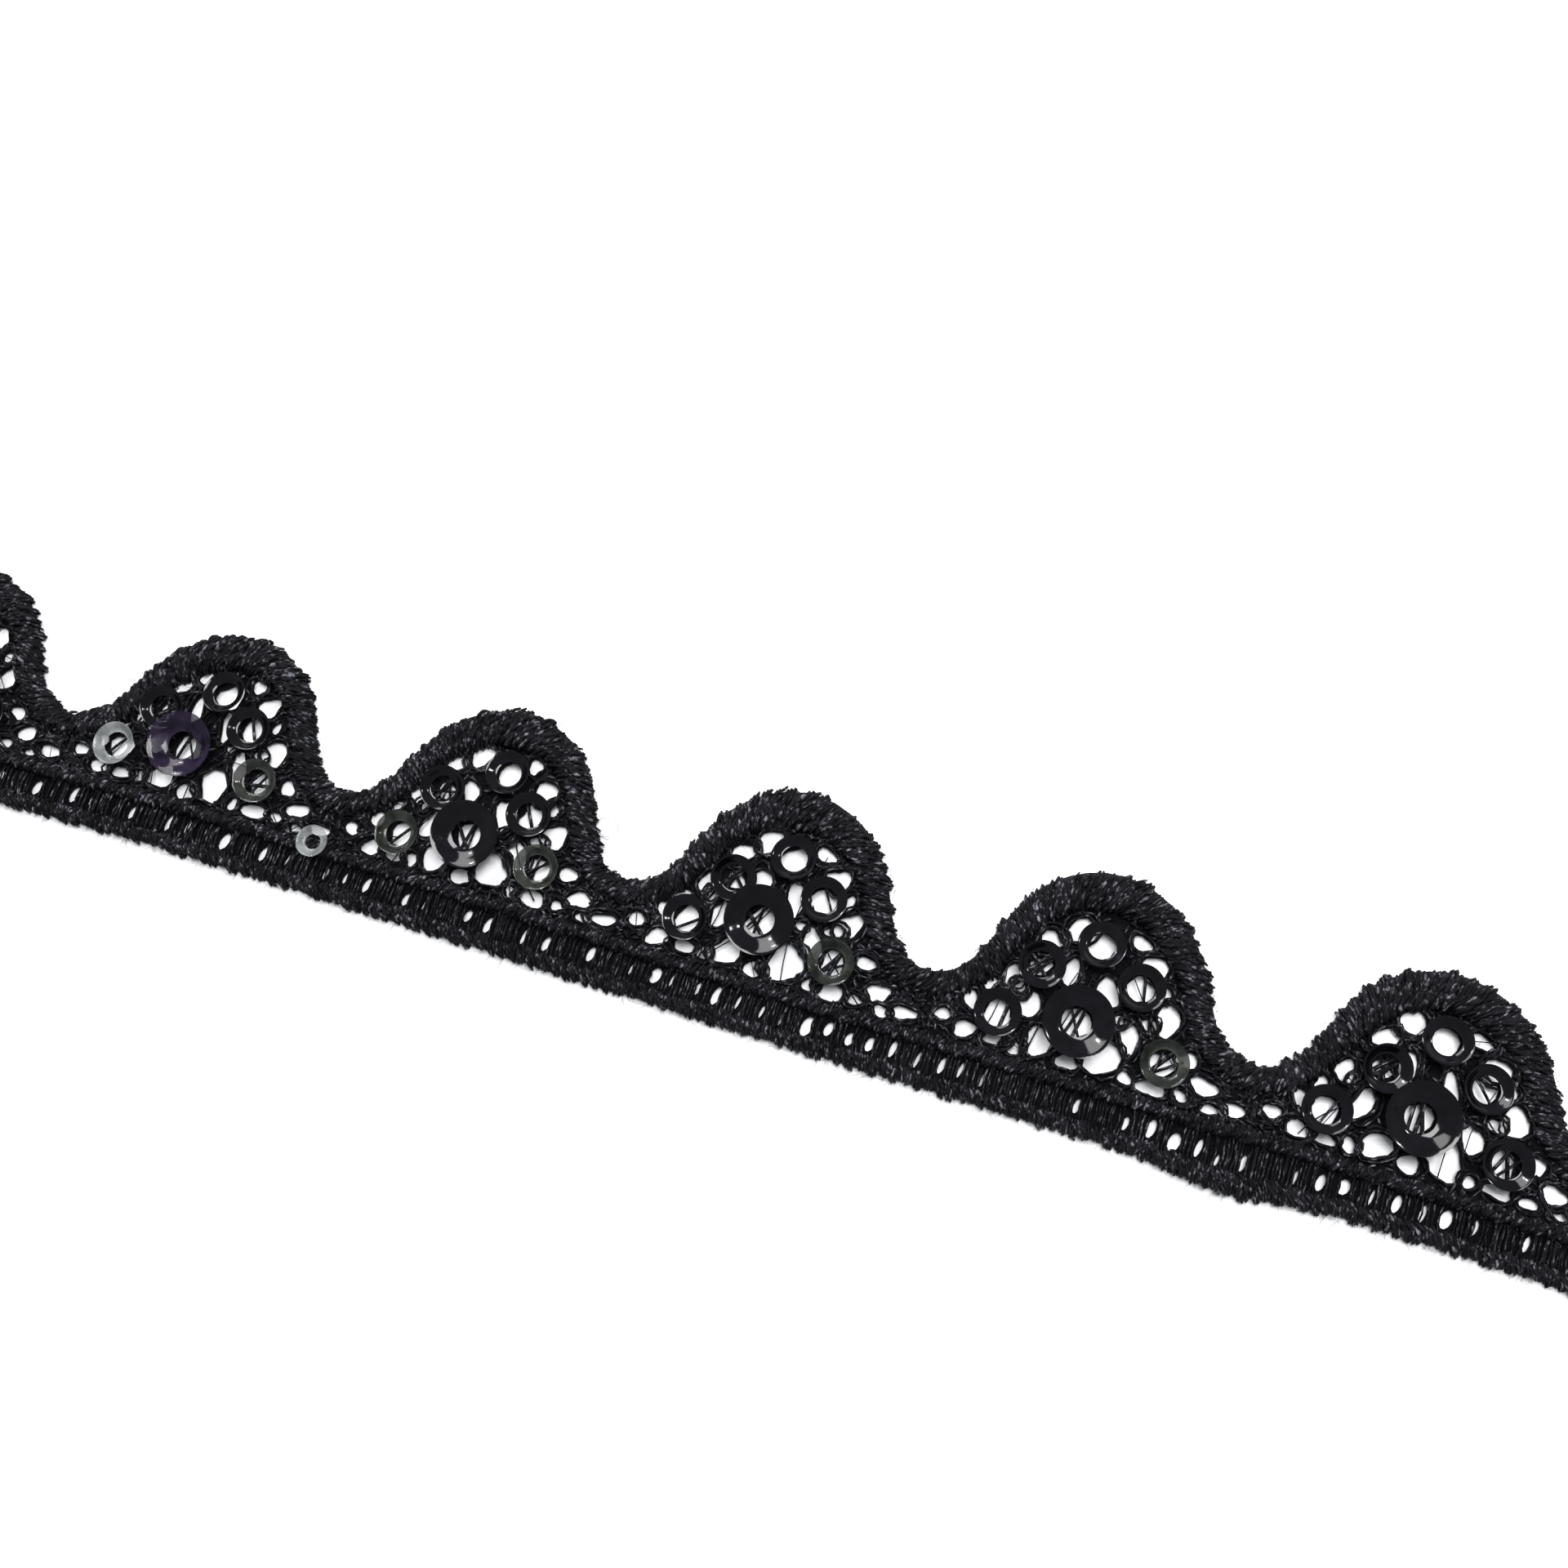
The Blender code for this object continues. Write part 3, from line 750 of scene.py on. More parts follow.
@dataclass
class Header:
    """The header band: two corded rows with a ladder of upright threads between them."""

    lower_v: float = 0.35
    lower_width: float = 1.5
    upper_v: float = 3.5
    upper_width: float = 1.4
    slits: int = 14
    slit_middle: float = 1.95
    valley: float = -11.8
    bulge_column: float = 40.0
    bulge_reach: float = 5.0
    bulge_drop: float = 0.9
    bulge_share: float = 0.75
    slit_widths: tuple = (0.0, 0.3, 0.5, 0.7, 0.95)
    slit_chances: tuple = (0.30, 0.18, 0.20, 0.18, 0.14)
    ladder_spacing: float = 0.2
    ladder_radius: tuple = (0.08, 0.13)
    edge_scallop: float = 0.22
    edge_steps: int = 7
    cut_end: float = 0.25
    runs: int = 1900
    stitch: Stitch = Stitch(
        pitch=0.25 * MM, radius=0.12 * MM, height=1.12 * MM, lift=0.24 * MM,
        bundle=(0.7 * MM, 1.2 * MM), outward=(0.15 * MM, 0.55 * MM), inward=(0.0, 0.20 * MM),
        slant=(-0.1, 0.5), inset=(0.30 * MM, 0.08 * MM), stroke_length=(0.45 * MM, 0.9 * MM),
        stroke_radius=(0.13 * MM, 0.20 * MM), stroke_slant=(-0.3, 1.2), top_angles=7)

    def bulge(self, column: np.ndarray) -> np.ndarray:
        """How far the lower edge bags out at chart columns."""
        return self.bulge_drop * np.exp(-((column - self.bulge_column) / self.bulge_reach) ** 2)

    def row(self, tape: Tape, middle: float, width: float, bags: bool) -> RowLine:
        """One of the two corded rows."""
        first = REPEATS.start * SQUARES + self.valley + self.cut_end
        last = REPEATS.stop * SQUARES + self.valley - self.cut_end
        column = np.linspace(first, last, 900)
        drop = self.bulge(column) if bags else np.zeros_like(column)
        points = tape.place(column, middle - self.bulge_share * drop)
        wide = (width + 0.5 * drop) * tape.square
        return RowLine.through(points, wide, self.stitch.pitch, side=-1.0 if bags else 1.0)

    def ground_edge(self, tape: Tape) -> np.ndarray:
        """The lower edge of the ground sheet, from right to left."""
        first, last = REPEATS.start * SQUARES + self.valley, REPEATS.stop * SQUARES + self.valley
        column = np.linspace(last, first, self.edge_steps * len(REPEATS) * 2 + 1)
        v = np.where(np.arange(len(column)) % 2, -self.edge_scallop, 0.0)
        return tape.place(column, v - self.bulge(column) + 0.25)

    def slit_rows(self) -> list[tuple[float, float, float, float]]:
        """(column, v, width, height) of every slit, in chart squares, as uneven as worked."""
        rng = np.random.default_rng(23)
        rows = []
        for number in range(self.slits * len(REPEATS)):
            column = REPEATS.start * SQUARES + self.valley + (number + 0.5) * SQUARES / self.slits
            wide = rng.choice(self.slit_widths, p=self.slit_chances)
            high = rng.uniform(0.8, 1.3) + 0.45 * wide
            column += rng.uniform(-0.25, 0.25)
            rows.append((column, self.slit_middle + rng.uniform(-0.2, 0.2), wide, high))
        return rows

    def ladder(self, tape: Tape, rng: np.random.Generator) -> ThreadMesh:
        """Lay the upright threads between the slits.

        Args:
            tape: where the trim lies.
            rng: the header's random numbers.

        Returns:
            The threads.
        """
        slits = self.slit_rows()
        column, bottom, top = [], [], []
        for left, right in zip(slits, slits[1:]):
            start, end = left[0] + left[2] / 2 + 0.1, right[0] - right[2] / 2 - 0.1
            count = max(int((end - start) / self.ladder_spacing), 3)
            for place in np.linspace(start, end, count):
                column.append([place + rng.normal(0, stray) for stray in (0.05, 0.12, 0.05)])
                bottom.append(rng.uniform(0.5, 0.9))
                top.append(rng.uniform(3.0, 3.5))
        column, bottom, top = np.array(column), np.array(bottom), np.array(top)
        share = np.linspace(0.0, 1.0, 5)
        columns = np.stack([np.interp(share, (0.0, 0.5, 1.0), row) for row in column])
        v = bottom[:, None] + (top - bottom)[:, None] * share
        v = v - self.bulge(columns) * self.bulge_share * (1.0 - share)
        plan = tape.place(columns, v)
        level = rng.uniform(0.45, 0.85, (len(column), 1)) * MM + 0.15 * MM * np.sin(math.pi * share)
        threads = ThreadMesh("ladder_threads")
        threads.lay(plan, level, rng.uniform(*self.ladder_radius, (len(column), 1)) * MM)
        return threads

    def build(self, tape: Tape, thread: bpy.types.Material) -> list[bpy.types.Object]:
        """Make the header.

        Args:
            tape: where the trim lies.
            thread: the thread's material.

        Returns:
            Its pieces.
        """
        rng = np.random.default_rng(12)
        kinds = ("stitches", "top_stitches", "padding")
        rings, loose, core = (ThreadMesh(f"header_{kind}") for kind in kinds)
        lower = self.row(tape, self.lower_v, self.lower_width, True)
        upper = self.row(tape, self.upper_v, self.upper_width, False)
        for line in (lower, upper):
            edges = self.stitch.edges(line, rng)
            self.stitch.wrap(rings, line, edges, rng)
            self.stitch.strokes(loose, line, edges, rng, self.runs)
            self.stitch.core(core, line, 4)
        return [part.build(thread) for part in (core, rings, loose, self.ladder(tape, rng))]


@dataclass
class Net:
    """The open net inside each scallop: a ground sheet with gaps, and threads round each gap.

    The gaps' table has columns u, v, width, height and turn, in chart squares and degrees.
    """

    gaps: tuple = (
        (-1.3, 15.4, 2.1, 1.7, 25), (-3.2, 13.9, 2.0, 1.4, 35), (3.6, 15.5, 1.5, 1.2, -25),
        (5.2, 13.9, 1.9, 1.8, -35), (6.4, 12.4, 0.7, 1.1, 0), (7.0, 10.3, 1.8, 2.3, -20),
        (2.2, 11.1, 1.4, 2.6, 10), (-1.0, 12.0, 1.3, 2.1, 0), (3.2, 9.4, 0.8, 0.7, 0),
        (4.4, 8.2, 1.5, 2.5, 20), (2.8, 6.1, 2.7, 2.9, -20), (5.9, 9.7, 1.2, 0.8, 0),
        (-2.1, 5.8, 2.1, 2.0, 30), (-3.5, 8.4, 1.5, 2.3, -10), (-5.5, 10.5, 1.3, 1.7, -15),
        (-6.9, 9.2, 1.1, 0.8, 30), (-4.6, 9.7, 0.7, 0.8, 0), (-8.1, 7.6, 1.1, 1.3, 20),
        (-9.9, 6.0, 1.3, 1.0, 0), (-7.9, 5.2, 1.7, 1.2, 10), (-5.6, 5.0, 1.9, 0.8, 0),
        (-3.9, 5.0, 1.1, 1.1, 0), (0.5, 5.0, 1.6, 1.4, 0), (5.0, 5.0, 0.9, 1.0, 0),
        (7.0, 5.0, 2.2, 1.2, 0), (9.3, 7.8, 1.5, 1.2, 0), (9.2, 5.0, 1.2, 0.8, 0),
        (10.8, 6.1, 1.9, 1.2, 10), (11.5, 4.7, 1.3, 0.7, 0), (13.3, 5.1, 2.0, 0.9, 0),
    )
    holes: dict = field(default_factory=lambda: {
        "top": (2.4, 2.4), "right": (2.2, 2.3), "big": (2.5, 2.4), "left": (2.2, 2.2), "low": (2.0, 2.0),
        "upper": (1.6, 1.5)})
    hole_threads: dict = field(default_factory=lambda: {
        "top": (0, 0.0), "right": (1, 118.0), "big": (3, 73.0), "left": (1, 51.0), "low": (3, 40.0),
        "upper": (5, 60.0)})
    gap_sides: int = 12
    thick: float = 0.30 * MM
    level: float = 0.25 * MM
    flat: tuple = (0.0215, 0.1925)
    cut_height: float = 6.0 * MM
    slit_sides: int = 10
    slit_slant: float = 0.18
    rounds: tuple = ((0.15, 1.0), (0.36, 0.9), (0.56, 0.35))
    round_points: int = 14
    knots: int = 950
    knot_distance: float = 0.30 * MM
    long_threads: int = 5

    def gap_rows(self, tape: Tape) -> np.ndarray:
        """Every gap on the table: rows of (x, y, width, height, turn) in metres and radians."""
        rows = []
        for repeat in REPEATS:
            rng = np.random.default_rng(140 + repeat)
            for u, v, wide, high, turn in self.gaps:
                column = u + repeat * SQUARES + rng.uniform(-0.15, 0.15)
                swell = tape.square * rng.uniform(0.98, 1.16, 2)
                x, y = tape.place(column, v + rng.uniform(-0.15, 0.15))
                angle = float(tape.heading(column)) + math.radians(turn + rng.uniform(-8, 8))
                rows.append((x, y, wide * swell[0], high * swell[1], angle))
        return np.array(rows)

    def hole_rows(self, tape: Tape) -> np.ndarray:
        """The openings seen through the sequins' holes, as rows like the gaps'."""
        rows = []
        for number in range(1, len(REPEATS) + 1):
            for name, (wide, high) in self.holes.items():
                low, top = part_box(f"sequin_{number}_{name}")
                middle = (low + top) / 2
                rows.append((middle.x, middle.y, wide * tape.square, high * tape.square, 0.3))
        return np.array(rows)

    def outlines(self, rows: np.ndarray, grow: float, sides: int, seed: int) -> np.ndarray:
        """Uneven rounded outlines of gaps.

        Args:
            rows: gap rows.
            grow: how far outside the gap's own edge.
            sides: points of each outline.
            seed: start of the random unevenness, the same for outlines that nest.

        Returns:
            Array of (gap, point, xy).
        """
        rng = np.random.default_rng(seed)
        turn = np.arange(sides) * 2 * math.pi / sides
        phase = rng.uniform(0, 2 * math.pi, (len(rows), 2))
        depth = rng.uniform(0.03, 0.19, (len(rows), 2))
        ripple = 1.0 + sum(depth[:, [k]] * np.cos((k + 2) * turn + phase[:, [k]]) for k in (0, 1))
        wide = (rows[:, [2]] / 2) * ripple + grow
        high = (rows[:, [3]] / 2) * ripple + grow
        local_x, local_y = wide * np.cos(turn), high * np.sin(turn)
        cosine, sine = np.cos(rows[:, [4]]), np.sin(rows[:, [4]])
        x = rows[:, [0]] + local_x * cosine - local_y * sine
        y = rows[:, [1]] + local_x * sine + local_y * cosine
        return np.stack([x, y], axis=-1)

    def prism_mesh(self, name: str, outlines: list[np.ndarray], low: float, high: float) -> bpy.types.Object:
        """Upright prisms on outlines, joined in one mesh.

        Args:
            name: the object's name.
            outlines: arrays of (x, y), counter-clockwise.
            low: level of their feet.
            high: level of their tops.

        Returns:
            The object.
        """
        corners, faces = [], []
        for outline in outlines:
            base, count = len(corners), len(outline)
            corners += [(x, y, low) for x, y in outline] + [(x, y, high) for x, y in outline]
            faces.append([base + spot for spot in reversed(range(count))])
            faces.append([base + count + spot for spot in range(count)])
            for spot in range(count):
                after = (spot + 1) % count
                faces.append((base + spot, base + after, base + count + after, base + count + spot))
        mesh = bpy.data.meshes.new(name)
        mesh.from_pydata(corners, [], faces)
        mesh.update()
        piece = bpy.data.objects.new(name, mesh)
        bpy.context.scene.collection.objects.link(piece)
        return piece

    def ground(self, tape: Tape, border: Border, header: Header,
               finish: bpy.types.Material) -> bpy.types.Object:
        """Make the ground sheet, its gaps and slits cut through.

        Args:
            tape: where the trim lies.
            border: the border, which hides the sheet's upper edge.
            header: the header, which has the slits.
            finish: the sheet's material.

        Returns:
            The sheet.
        """
        edge = np.concatenate([border.ground_edge(tape), header.ground_edge(tape)])[::-1]
        sheet = self.prism_mesh("net_ground", [edge], self.level, self.level + self.thick)
        rows = np.concatenate([self.gap_rows(tape), self.hole_rows(tape)])
        cuts = list(self.outlines(rows, 0.0, self.gap_sides, 31))
        for column, v, wide, high in header.slit_rows():
            if wide > 0.0:
                v -= header.bulge_share * float(header.bulge(np.array(column)))
                turn = np.arange(self.slit_sides) * 2 * math.pi / self.slit_sides
                aside, up = np.cos(turn) * wide / 2, np.sin(turn) * high / 2
                cuts.append(tape.place(column + aside + self.slit_slant * up, v + up))
        cutter = self.prism_mesh("gap_cutter", cuts, -self.cut_height, self.cut_height)
        pick(sheet)
        cut = sheet.modifiers.new("gaps", "BOOLEAN")
        cut.operation, cut.solver, cut.object, cut.use_self = "DIFFERENCE", "EXACT", cutter, True
        bpy.ops.object.modifier_apply(modifier=cut.name)
        bpy.data.objects.remove(cutter)
        dress(sheet, finish)
        return sheet

    def gap_threads(self, tape: Tape) -> ThreadMesh:
        """Threads that run round each gap, two or three deep."""
        rows = self.gap_rows(tape)
        threads = ThreadMesh("net_threads")
        rng = np.random.default_rng(33)
        for grow, keep in self.rounds:
            chosen = rows[rng.random(len(rows)) < keep] if keep < 1.0 else rows
            seed = 31 if keep == 1.0 else int(100 * grow)
            count = self.round_points
            plan = self.outlines(chosen, grow * MM, count, seed)
            plan += rng.normal(0.0, 0.035 * MM, plan.shape)
            turn = np.arange(count) * 2 * math.pi / count
            phase = rng.uniform(0, 2 * math.pi, (len(chosen), 1))
            lift = rng.uniform(-0.12, 0.22, (len(chosen), 1))
            level = (0.62 + lift + 0.14 * np.sin(2 * turn + phase)) * MM
            thick = rng.uniform(0.09, 0.16, (len(chosen), 1)) * MM
            threads.lay(plan, level, thick * rng.uniform(0.75, 1.25, (len(chosen), count)), closed=True)
        return threads

    def knot_threads(self, tape: Tape, border: Border) -> ThreadMesh:
        """Cover the ground with short arched runs of thread wherever there is no gap.

        Args:
            tape: where the trim lies.
            border: the border that bounds the net.

        Returns:
            The threads.
        """
        rng = np.random.default_rng(37)
        count = self.knots * len(REPEATS)
        repeat = np.repeat(np.arange(REPEATS.start, REPEATS.stop), self.knots)
        u = rng.uniform(-13.0, 13.0, count)
        line = border.chart_line(border.ground_steps)
        column = u + repeat * SQUARES
        inner = np.interp(column, line[:, 0], line[:, 1] - 0.3 * line[:, 2])
        v = 3.9 + (inner - 3.9) * rng.random(count)
        spot = tape.place(column, v)
        gaps = np.concatenate([self.gap_rows(tape), self.hole_rows(tape)])
        cosine, sine = np.cos(gaps[:, 4]), np.sin(gaps[:, 4])
        away = spot[:, None] - gaps[None, :, :2]
        local_x = (away[..., 0] * cosine + away[..., 1] * sine) / (gaps[:, 2] / 2 + self.knot_distance)
        local_y = (-away[..., 0] * sine + away[..., 1] * cosine) / (gaps[:, 3] / 2 + self.knot_distance)
        spot = spot[np.min(local_x ** 2 + local_y ** 2, axis=1) > 1.0]
        count = len(spot)
        turn = rng.uniform(0.0, math.pi, count)
        length = rng.uniform(0.4, 0.9, count) * MM
        share = np.linspace(-0.5, 0.5, 5)
        run = np.stack([np.cos(turn), np.sin(turn)], axis=1)
        plan = spot[:, None] + run[:, None] * (length[:, None] * share)[..., None]
        arch = np.cos(math.pi * share) ** 0.7
        level = (0.50 + rng.uniform(0.08, 0.42, (count, 1)) * arch) * MM
        threads = ThreadMesh("net_knots")
        threads.lay(plan, level, rng.uniform(0.11, 0.19, (count, 1)) * MM * (0.6 + 0.4 * arch))
        return threads

    def stray_threads(self, tape: Tape) -> ThreadMesh:
        """Thin threads that cross the net and its gaps, and the ones seen in the sequins' holes."""
        threads = ThreadMesh("crossing_threads")
        rng = np.random.default_rng(35)
        share = np.linspace(0.0, 1.0, 7)
        rows = self.gap_rows(tape)
        chosen = rows[rng.random(len(rows)) < 0.10]
        turn = rng.uniform(0.0, math.pi, len(chosen))
        self._cross(threads, chosen, turn, rng, share, 1.5, (0.03, 0.055), (0.5, 0.85))
        holes = self.hole_rows(tape)
        kinds = list(self.hole_threads.values()) * len(REPEATS)
        for number in range(max(count for count, _ in kinds)):
            keep = np.array([count > number for count, _ in kinds])
            turn = np.radians([angle for _, angle in kinds]) + rng.normal(0.0, 0.28, len(kinds))
            turn = turn + 0.9 * (number % 3 == 2)
            self._cross(threads, holes[keep], turn[keep], rng, share, 1.5, (0.10, 0.19), (0.6, 1.0))
        each = self.long_threads
        count = each * len(REPEATS)
        repeat = np.repeat(np.arange(REPEATS.start, REPEATS.stop), each)
        start_u, start_v = rng.uniform(-9, 12, count), rng.uniform(4.0, 5.0, count)
        end_u = start_u * 0.55 + rng.uniform(-4, 4, count)
        end_v = np.clip(17.0 - 0.12 * end_u ** 2 - rng.uniform(0, 7, count), 6.0, 16.0)
        sway = rng.uniform(-0.8, 0.8, (count, 1)) * np.sin(math.pi * share)
        column = (repeat * SQUARES + start_u)[:, None] + (end_u - start_u)[:, None] * share + sway
        v = start_v[:, None] + (end_v - start_v)[:, None] * share
        plan = tape.place(column, v)
        level = (0.6 + 0.3 * rng.random((count, 1)) + 0.08 * np.sin(3 * math.pi * share)) * MM
        threads.lay(plan, level, rng.uniform(0.035, 0.075, (count, 1)) * MM)
        return threads

    def _cross(self, threads: ThreadMesh, rows: np.ndarray, turn: np.ndarray, rng: np.random.Generator,
               share: np.ndarray, reach: float, radius: tuple, level: tuple) -> None:
        """Add one straightish thread across each of some gaps.

        Args:
            threads: where they are added.
            rows: the gaps.
            turn: the threads' turns, in radians.
            rng: the net's random numbers.
            share: the places of a thread's points, from 0 to 1.
            reach: a thread's length in gap widths.
            radius: the least and greatest radius, in millimetres.
            level: the least and greatest height, in millimetres.
        """
        count = len(rows)
        run = np.stack([np.cos(turn), np.sin(turn)], axis=1)
        length = np.minimum(rows[:, 2], rows[:, 3]) * reach
        aside = rng.uniform(-0.3, 0.3, count) * length / 2
        middle = rows[:, :2] + np.stack([-run[:, 1], run[:, 0]], axis=1) * aside[:, None]
        plan = middle[:, None] + run[:, None] * (length[:, None] * (share - 0.5))[..., None]
        height = rng.uniform(*level, (count, 1)) * MM + 0.06 * MM * np.sin(math.pi * share)
        threads.lay(plan, height, rng.uniform(*radius, (count, 1)) * MM)

    def build(self, tape: Tape, border: Border, header: Header, ground: bpy.types.Material,
              thread: bpy.types.Material) -> tuple[bpy.types.Object, list[bpy.types.Object]]:
        """Make the net.

        Args:
            tape: where the trim lies.
            border: the border that frames it.
            header: the header below it.
            ground: the ground's material.
            thread: the thread's material.

        Returns:
            The ground sheet, and the pieces of thread on it.
        """
        sheet = self.ground(tape, border, header, ground)
        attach(sheet, BODY)
        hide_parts("lace")
        log.info("%s: %d faces", sheet.name, len(sheet.data.polygons))
        parts = (self.gap_threads(tape), self.knot_threads(tape, border), self.stray_threads(tape))
        return sheet, [part.build(thread) for part in parts]

    def declare(self, sheet: bpy.types.Object, sewn: list[bpy.types.Object]) -> None:
        """Does nothing: the ground sheet and the pieces on it are not declared as cloth or as sewn here."""


@dataclass
class Sequins:
    """Cup sequins, six to a repeat and one lone ring.

    The sizes give outer radius, hole radius and depth. The profile gives (radius share, height
    share) from the hole to the rim. The looks name the ones that aren't jet, by their node.
    """

    sizes: dict = field(default_factory=lambda: {
        SequinSize.BIG: (3.0 * MM, 1.28 * MM, 0.85 * MM),
        SequinSize.SMALL: (2.0 * MM, 1.14 * MM, 0.55 * MM),
        SequinSize.TINY: (1.45 * MM, 0.70 * MM, 0.35 * MM)})
    profile: tuple = (
        (0.0, 0.0), (0.05, 0.02), (0.14, 0.06), (0.28, 0.18),
        (0.48, 0.44), (0.72, 0.76), (0.88, 0.94), (1.0, 1.0))
    wall: float = 0.14 * MM
    around: int = 44
    leans: dict = field(default_factory=lambda: {
        "left": (5.0, 200.0), "low": (5.0, -60.0), "right": (6.0, 20.0), "upper": (9.0, -42.0),
        "top": (6.0, 120.0), "big": (7.0, -42.0)})
    looks: dict = field(default_factory=lambda: {
        "sequin_2_big": SequinLook.SMOKE, "sequin_2_left": SequinLook.PALE, "sequin_2_low": SequinLook.MOSS,
        "sequin_3_left": SequinLook.MOSS, "sequin_3_low": SequinLook.MOSS, "sequin_4_low": SequinLook.MOSS,
        "sequin_5_low": SequinLook.MOSS, "sequin_lone": SequinLook.PALE})

    def finishes(self) -> dict[SequinLook, PlasticFinish]:
        """The plastic of each look."""
        rows = {
            SequinLook.JET: ("jet_sequin", (0.0015, 0.0015, 0.002), (0.004, 0.0035, 0.006), 0.0),
            SequinLook.SMOKE: ("jet_sequin", (0.006, 0.004, 0.011), (0.028, 0.018, 0.045), 0.32),
            SequinLook.MOSS: ("jet_sequin", (0.008, 0.009, 0.008), (0.050, 0.056, 0.048), 0.30),
            SequinLook.PALE: ("grey_sequin", (0.16, 0.17, 0.17), (0.42, 0.44, 0.44), 0.55),
        }
        return {look: PlasticFinish(f"{look.value}_plastic", *row) for look, row in rows.items()}

    def model(self, size: SequinSize) -> bpy.types.Object:
        """Model one size of cup once, lying level with its underside's middle at the origin.

        Args:
            size: which size.

        Returns:
            The object that the others are copied from.
        """
        outer, hole, depth = self.sizes[size]
        deselect_all()
        bpy.ops.mesh.primitive_circle_add(vertices=self.around, radius=hole, fill_type="NOTHING")
        cup = bpy.context.active_object
        cup.name = f"cup_{size.value}"
        bpy.ops.object.mode_set(mode="EDIT")
        bpy.ops.mesh.select_all(action="SELECT")
        upper = [(hole + (outer - hole) * share, depth * rise + self.wall) for share, rise in self.profile]
        lower = [(radius, level - self.wall * min(1.0, 6.0 * share * (1.0 - share)))
                 for (radius, level), (share, _) in zip(upper, self.profile)]
        rings = upper + lower[-2::-1]
        bpy.ops.transform.translate(value=(0.0, 0.0, upper[0][1]))
        for (radius, level), (wider, higher) in zip(rings, rings[1:]):
            bpy.ops.mesh.extrude_edges_move()
            grown = wider / radius
            bpy.ops.transform.resize(value=(grown, grown, 1.0), center_override=(0.0, 0.0, 0.0))
            bpy.ops.transform.translate(value=(0.0, 0.0, higher - level))
        bpy.ops.mesh.select_all(action="SELECT")
        bpy.ops.mesh.remove_doubles(threshold=0.001 * MM)
        bpy.ops.mesh.normals_make_consistent(inside=False)
        bpy.ops.object.mode_set(mode="OBJECT")
        pick(cup)
        bpy.ops.object.shade_smooth_by_angle(angle=math.radians(50.0))
        return cup

    def lay(self, model: bpy.types.Object, node: str, lean: tuple[float, float]) -> bpy.types.Object:
        """Copy a cup to where its node is.

        Args:
            model: the cup to copy.
            node: the CAD node that it replaces.
            lean: how far it leans and which way, in degrees.

        Returns:
            The piece, its place in its mesh.
        """
        low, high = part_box(node)
        middle = (low + high) / 2
        way = math.radians(lean[1])
        turn = Quaternion(Vector((-math.sin(way), math.cos(way), 0.0)), math.radians(lean[0]))
        cup = model.copy()
        cup.data = model.data.copy()
        cup.name = node.replace("sequin", "cup")
        cup.data.name = cup.name
        bpy.context.scene.collection.objects.link(cup)
        cup.data.transform(turn.to_matrix().to_4x4())
        heights = [spot.co.z for spot in cup.data.vertices]
        cup.data.transform(Matrix.Translation((middle.x, middle.y, low.z - min(heights))))
        return cup

    def build(self) -> list[bpy.types.Object]:
        """Make every sequin.

        Returns:
            The pieces.
        """
        models = {size: self.model(size) for size in SequinSize}
        finishes = self.finishes()
        materials = {look: finish.material() for look, finish in finishes.items()}
        rows = []
        for number in range(1, len(REPEATS) + 1):
            for name, lean in self.leans.items():
                size = SequinSize.BIG if name == "big" else SequinSize.SMALL
                rows.append((f"sequin_{number}_{name}", size, lean))
        rows.append(("sequin_lone", SequinSize.TINY, (3.0, 90.0)))
        rng = np.random.default_rng(51)
        made = []
        for node, size, (amount, way) in rows:
            lean = (amount + rng.uniform(-2.0, 2.0), way + rng.uniform(-20.0, 20.0))
            cup = self.lay(models[size], node, lean)
            look = self.looks.get(node, SequinLook.JET)
            dress(cup, materials[look])
            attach(cup, BODY)
            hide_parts(node)
            made.append(cup)
        for model in models.values():
            bpy.data.objects.remove(model)
        log.info("%d sequins, %d faces each of the big ones", len(made), len(made[5].data.polygons))
        return made


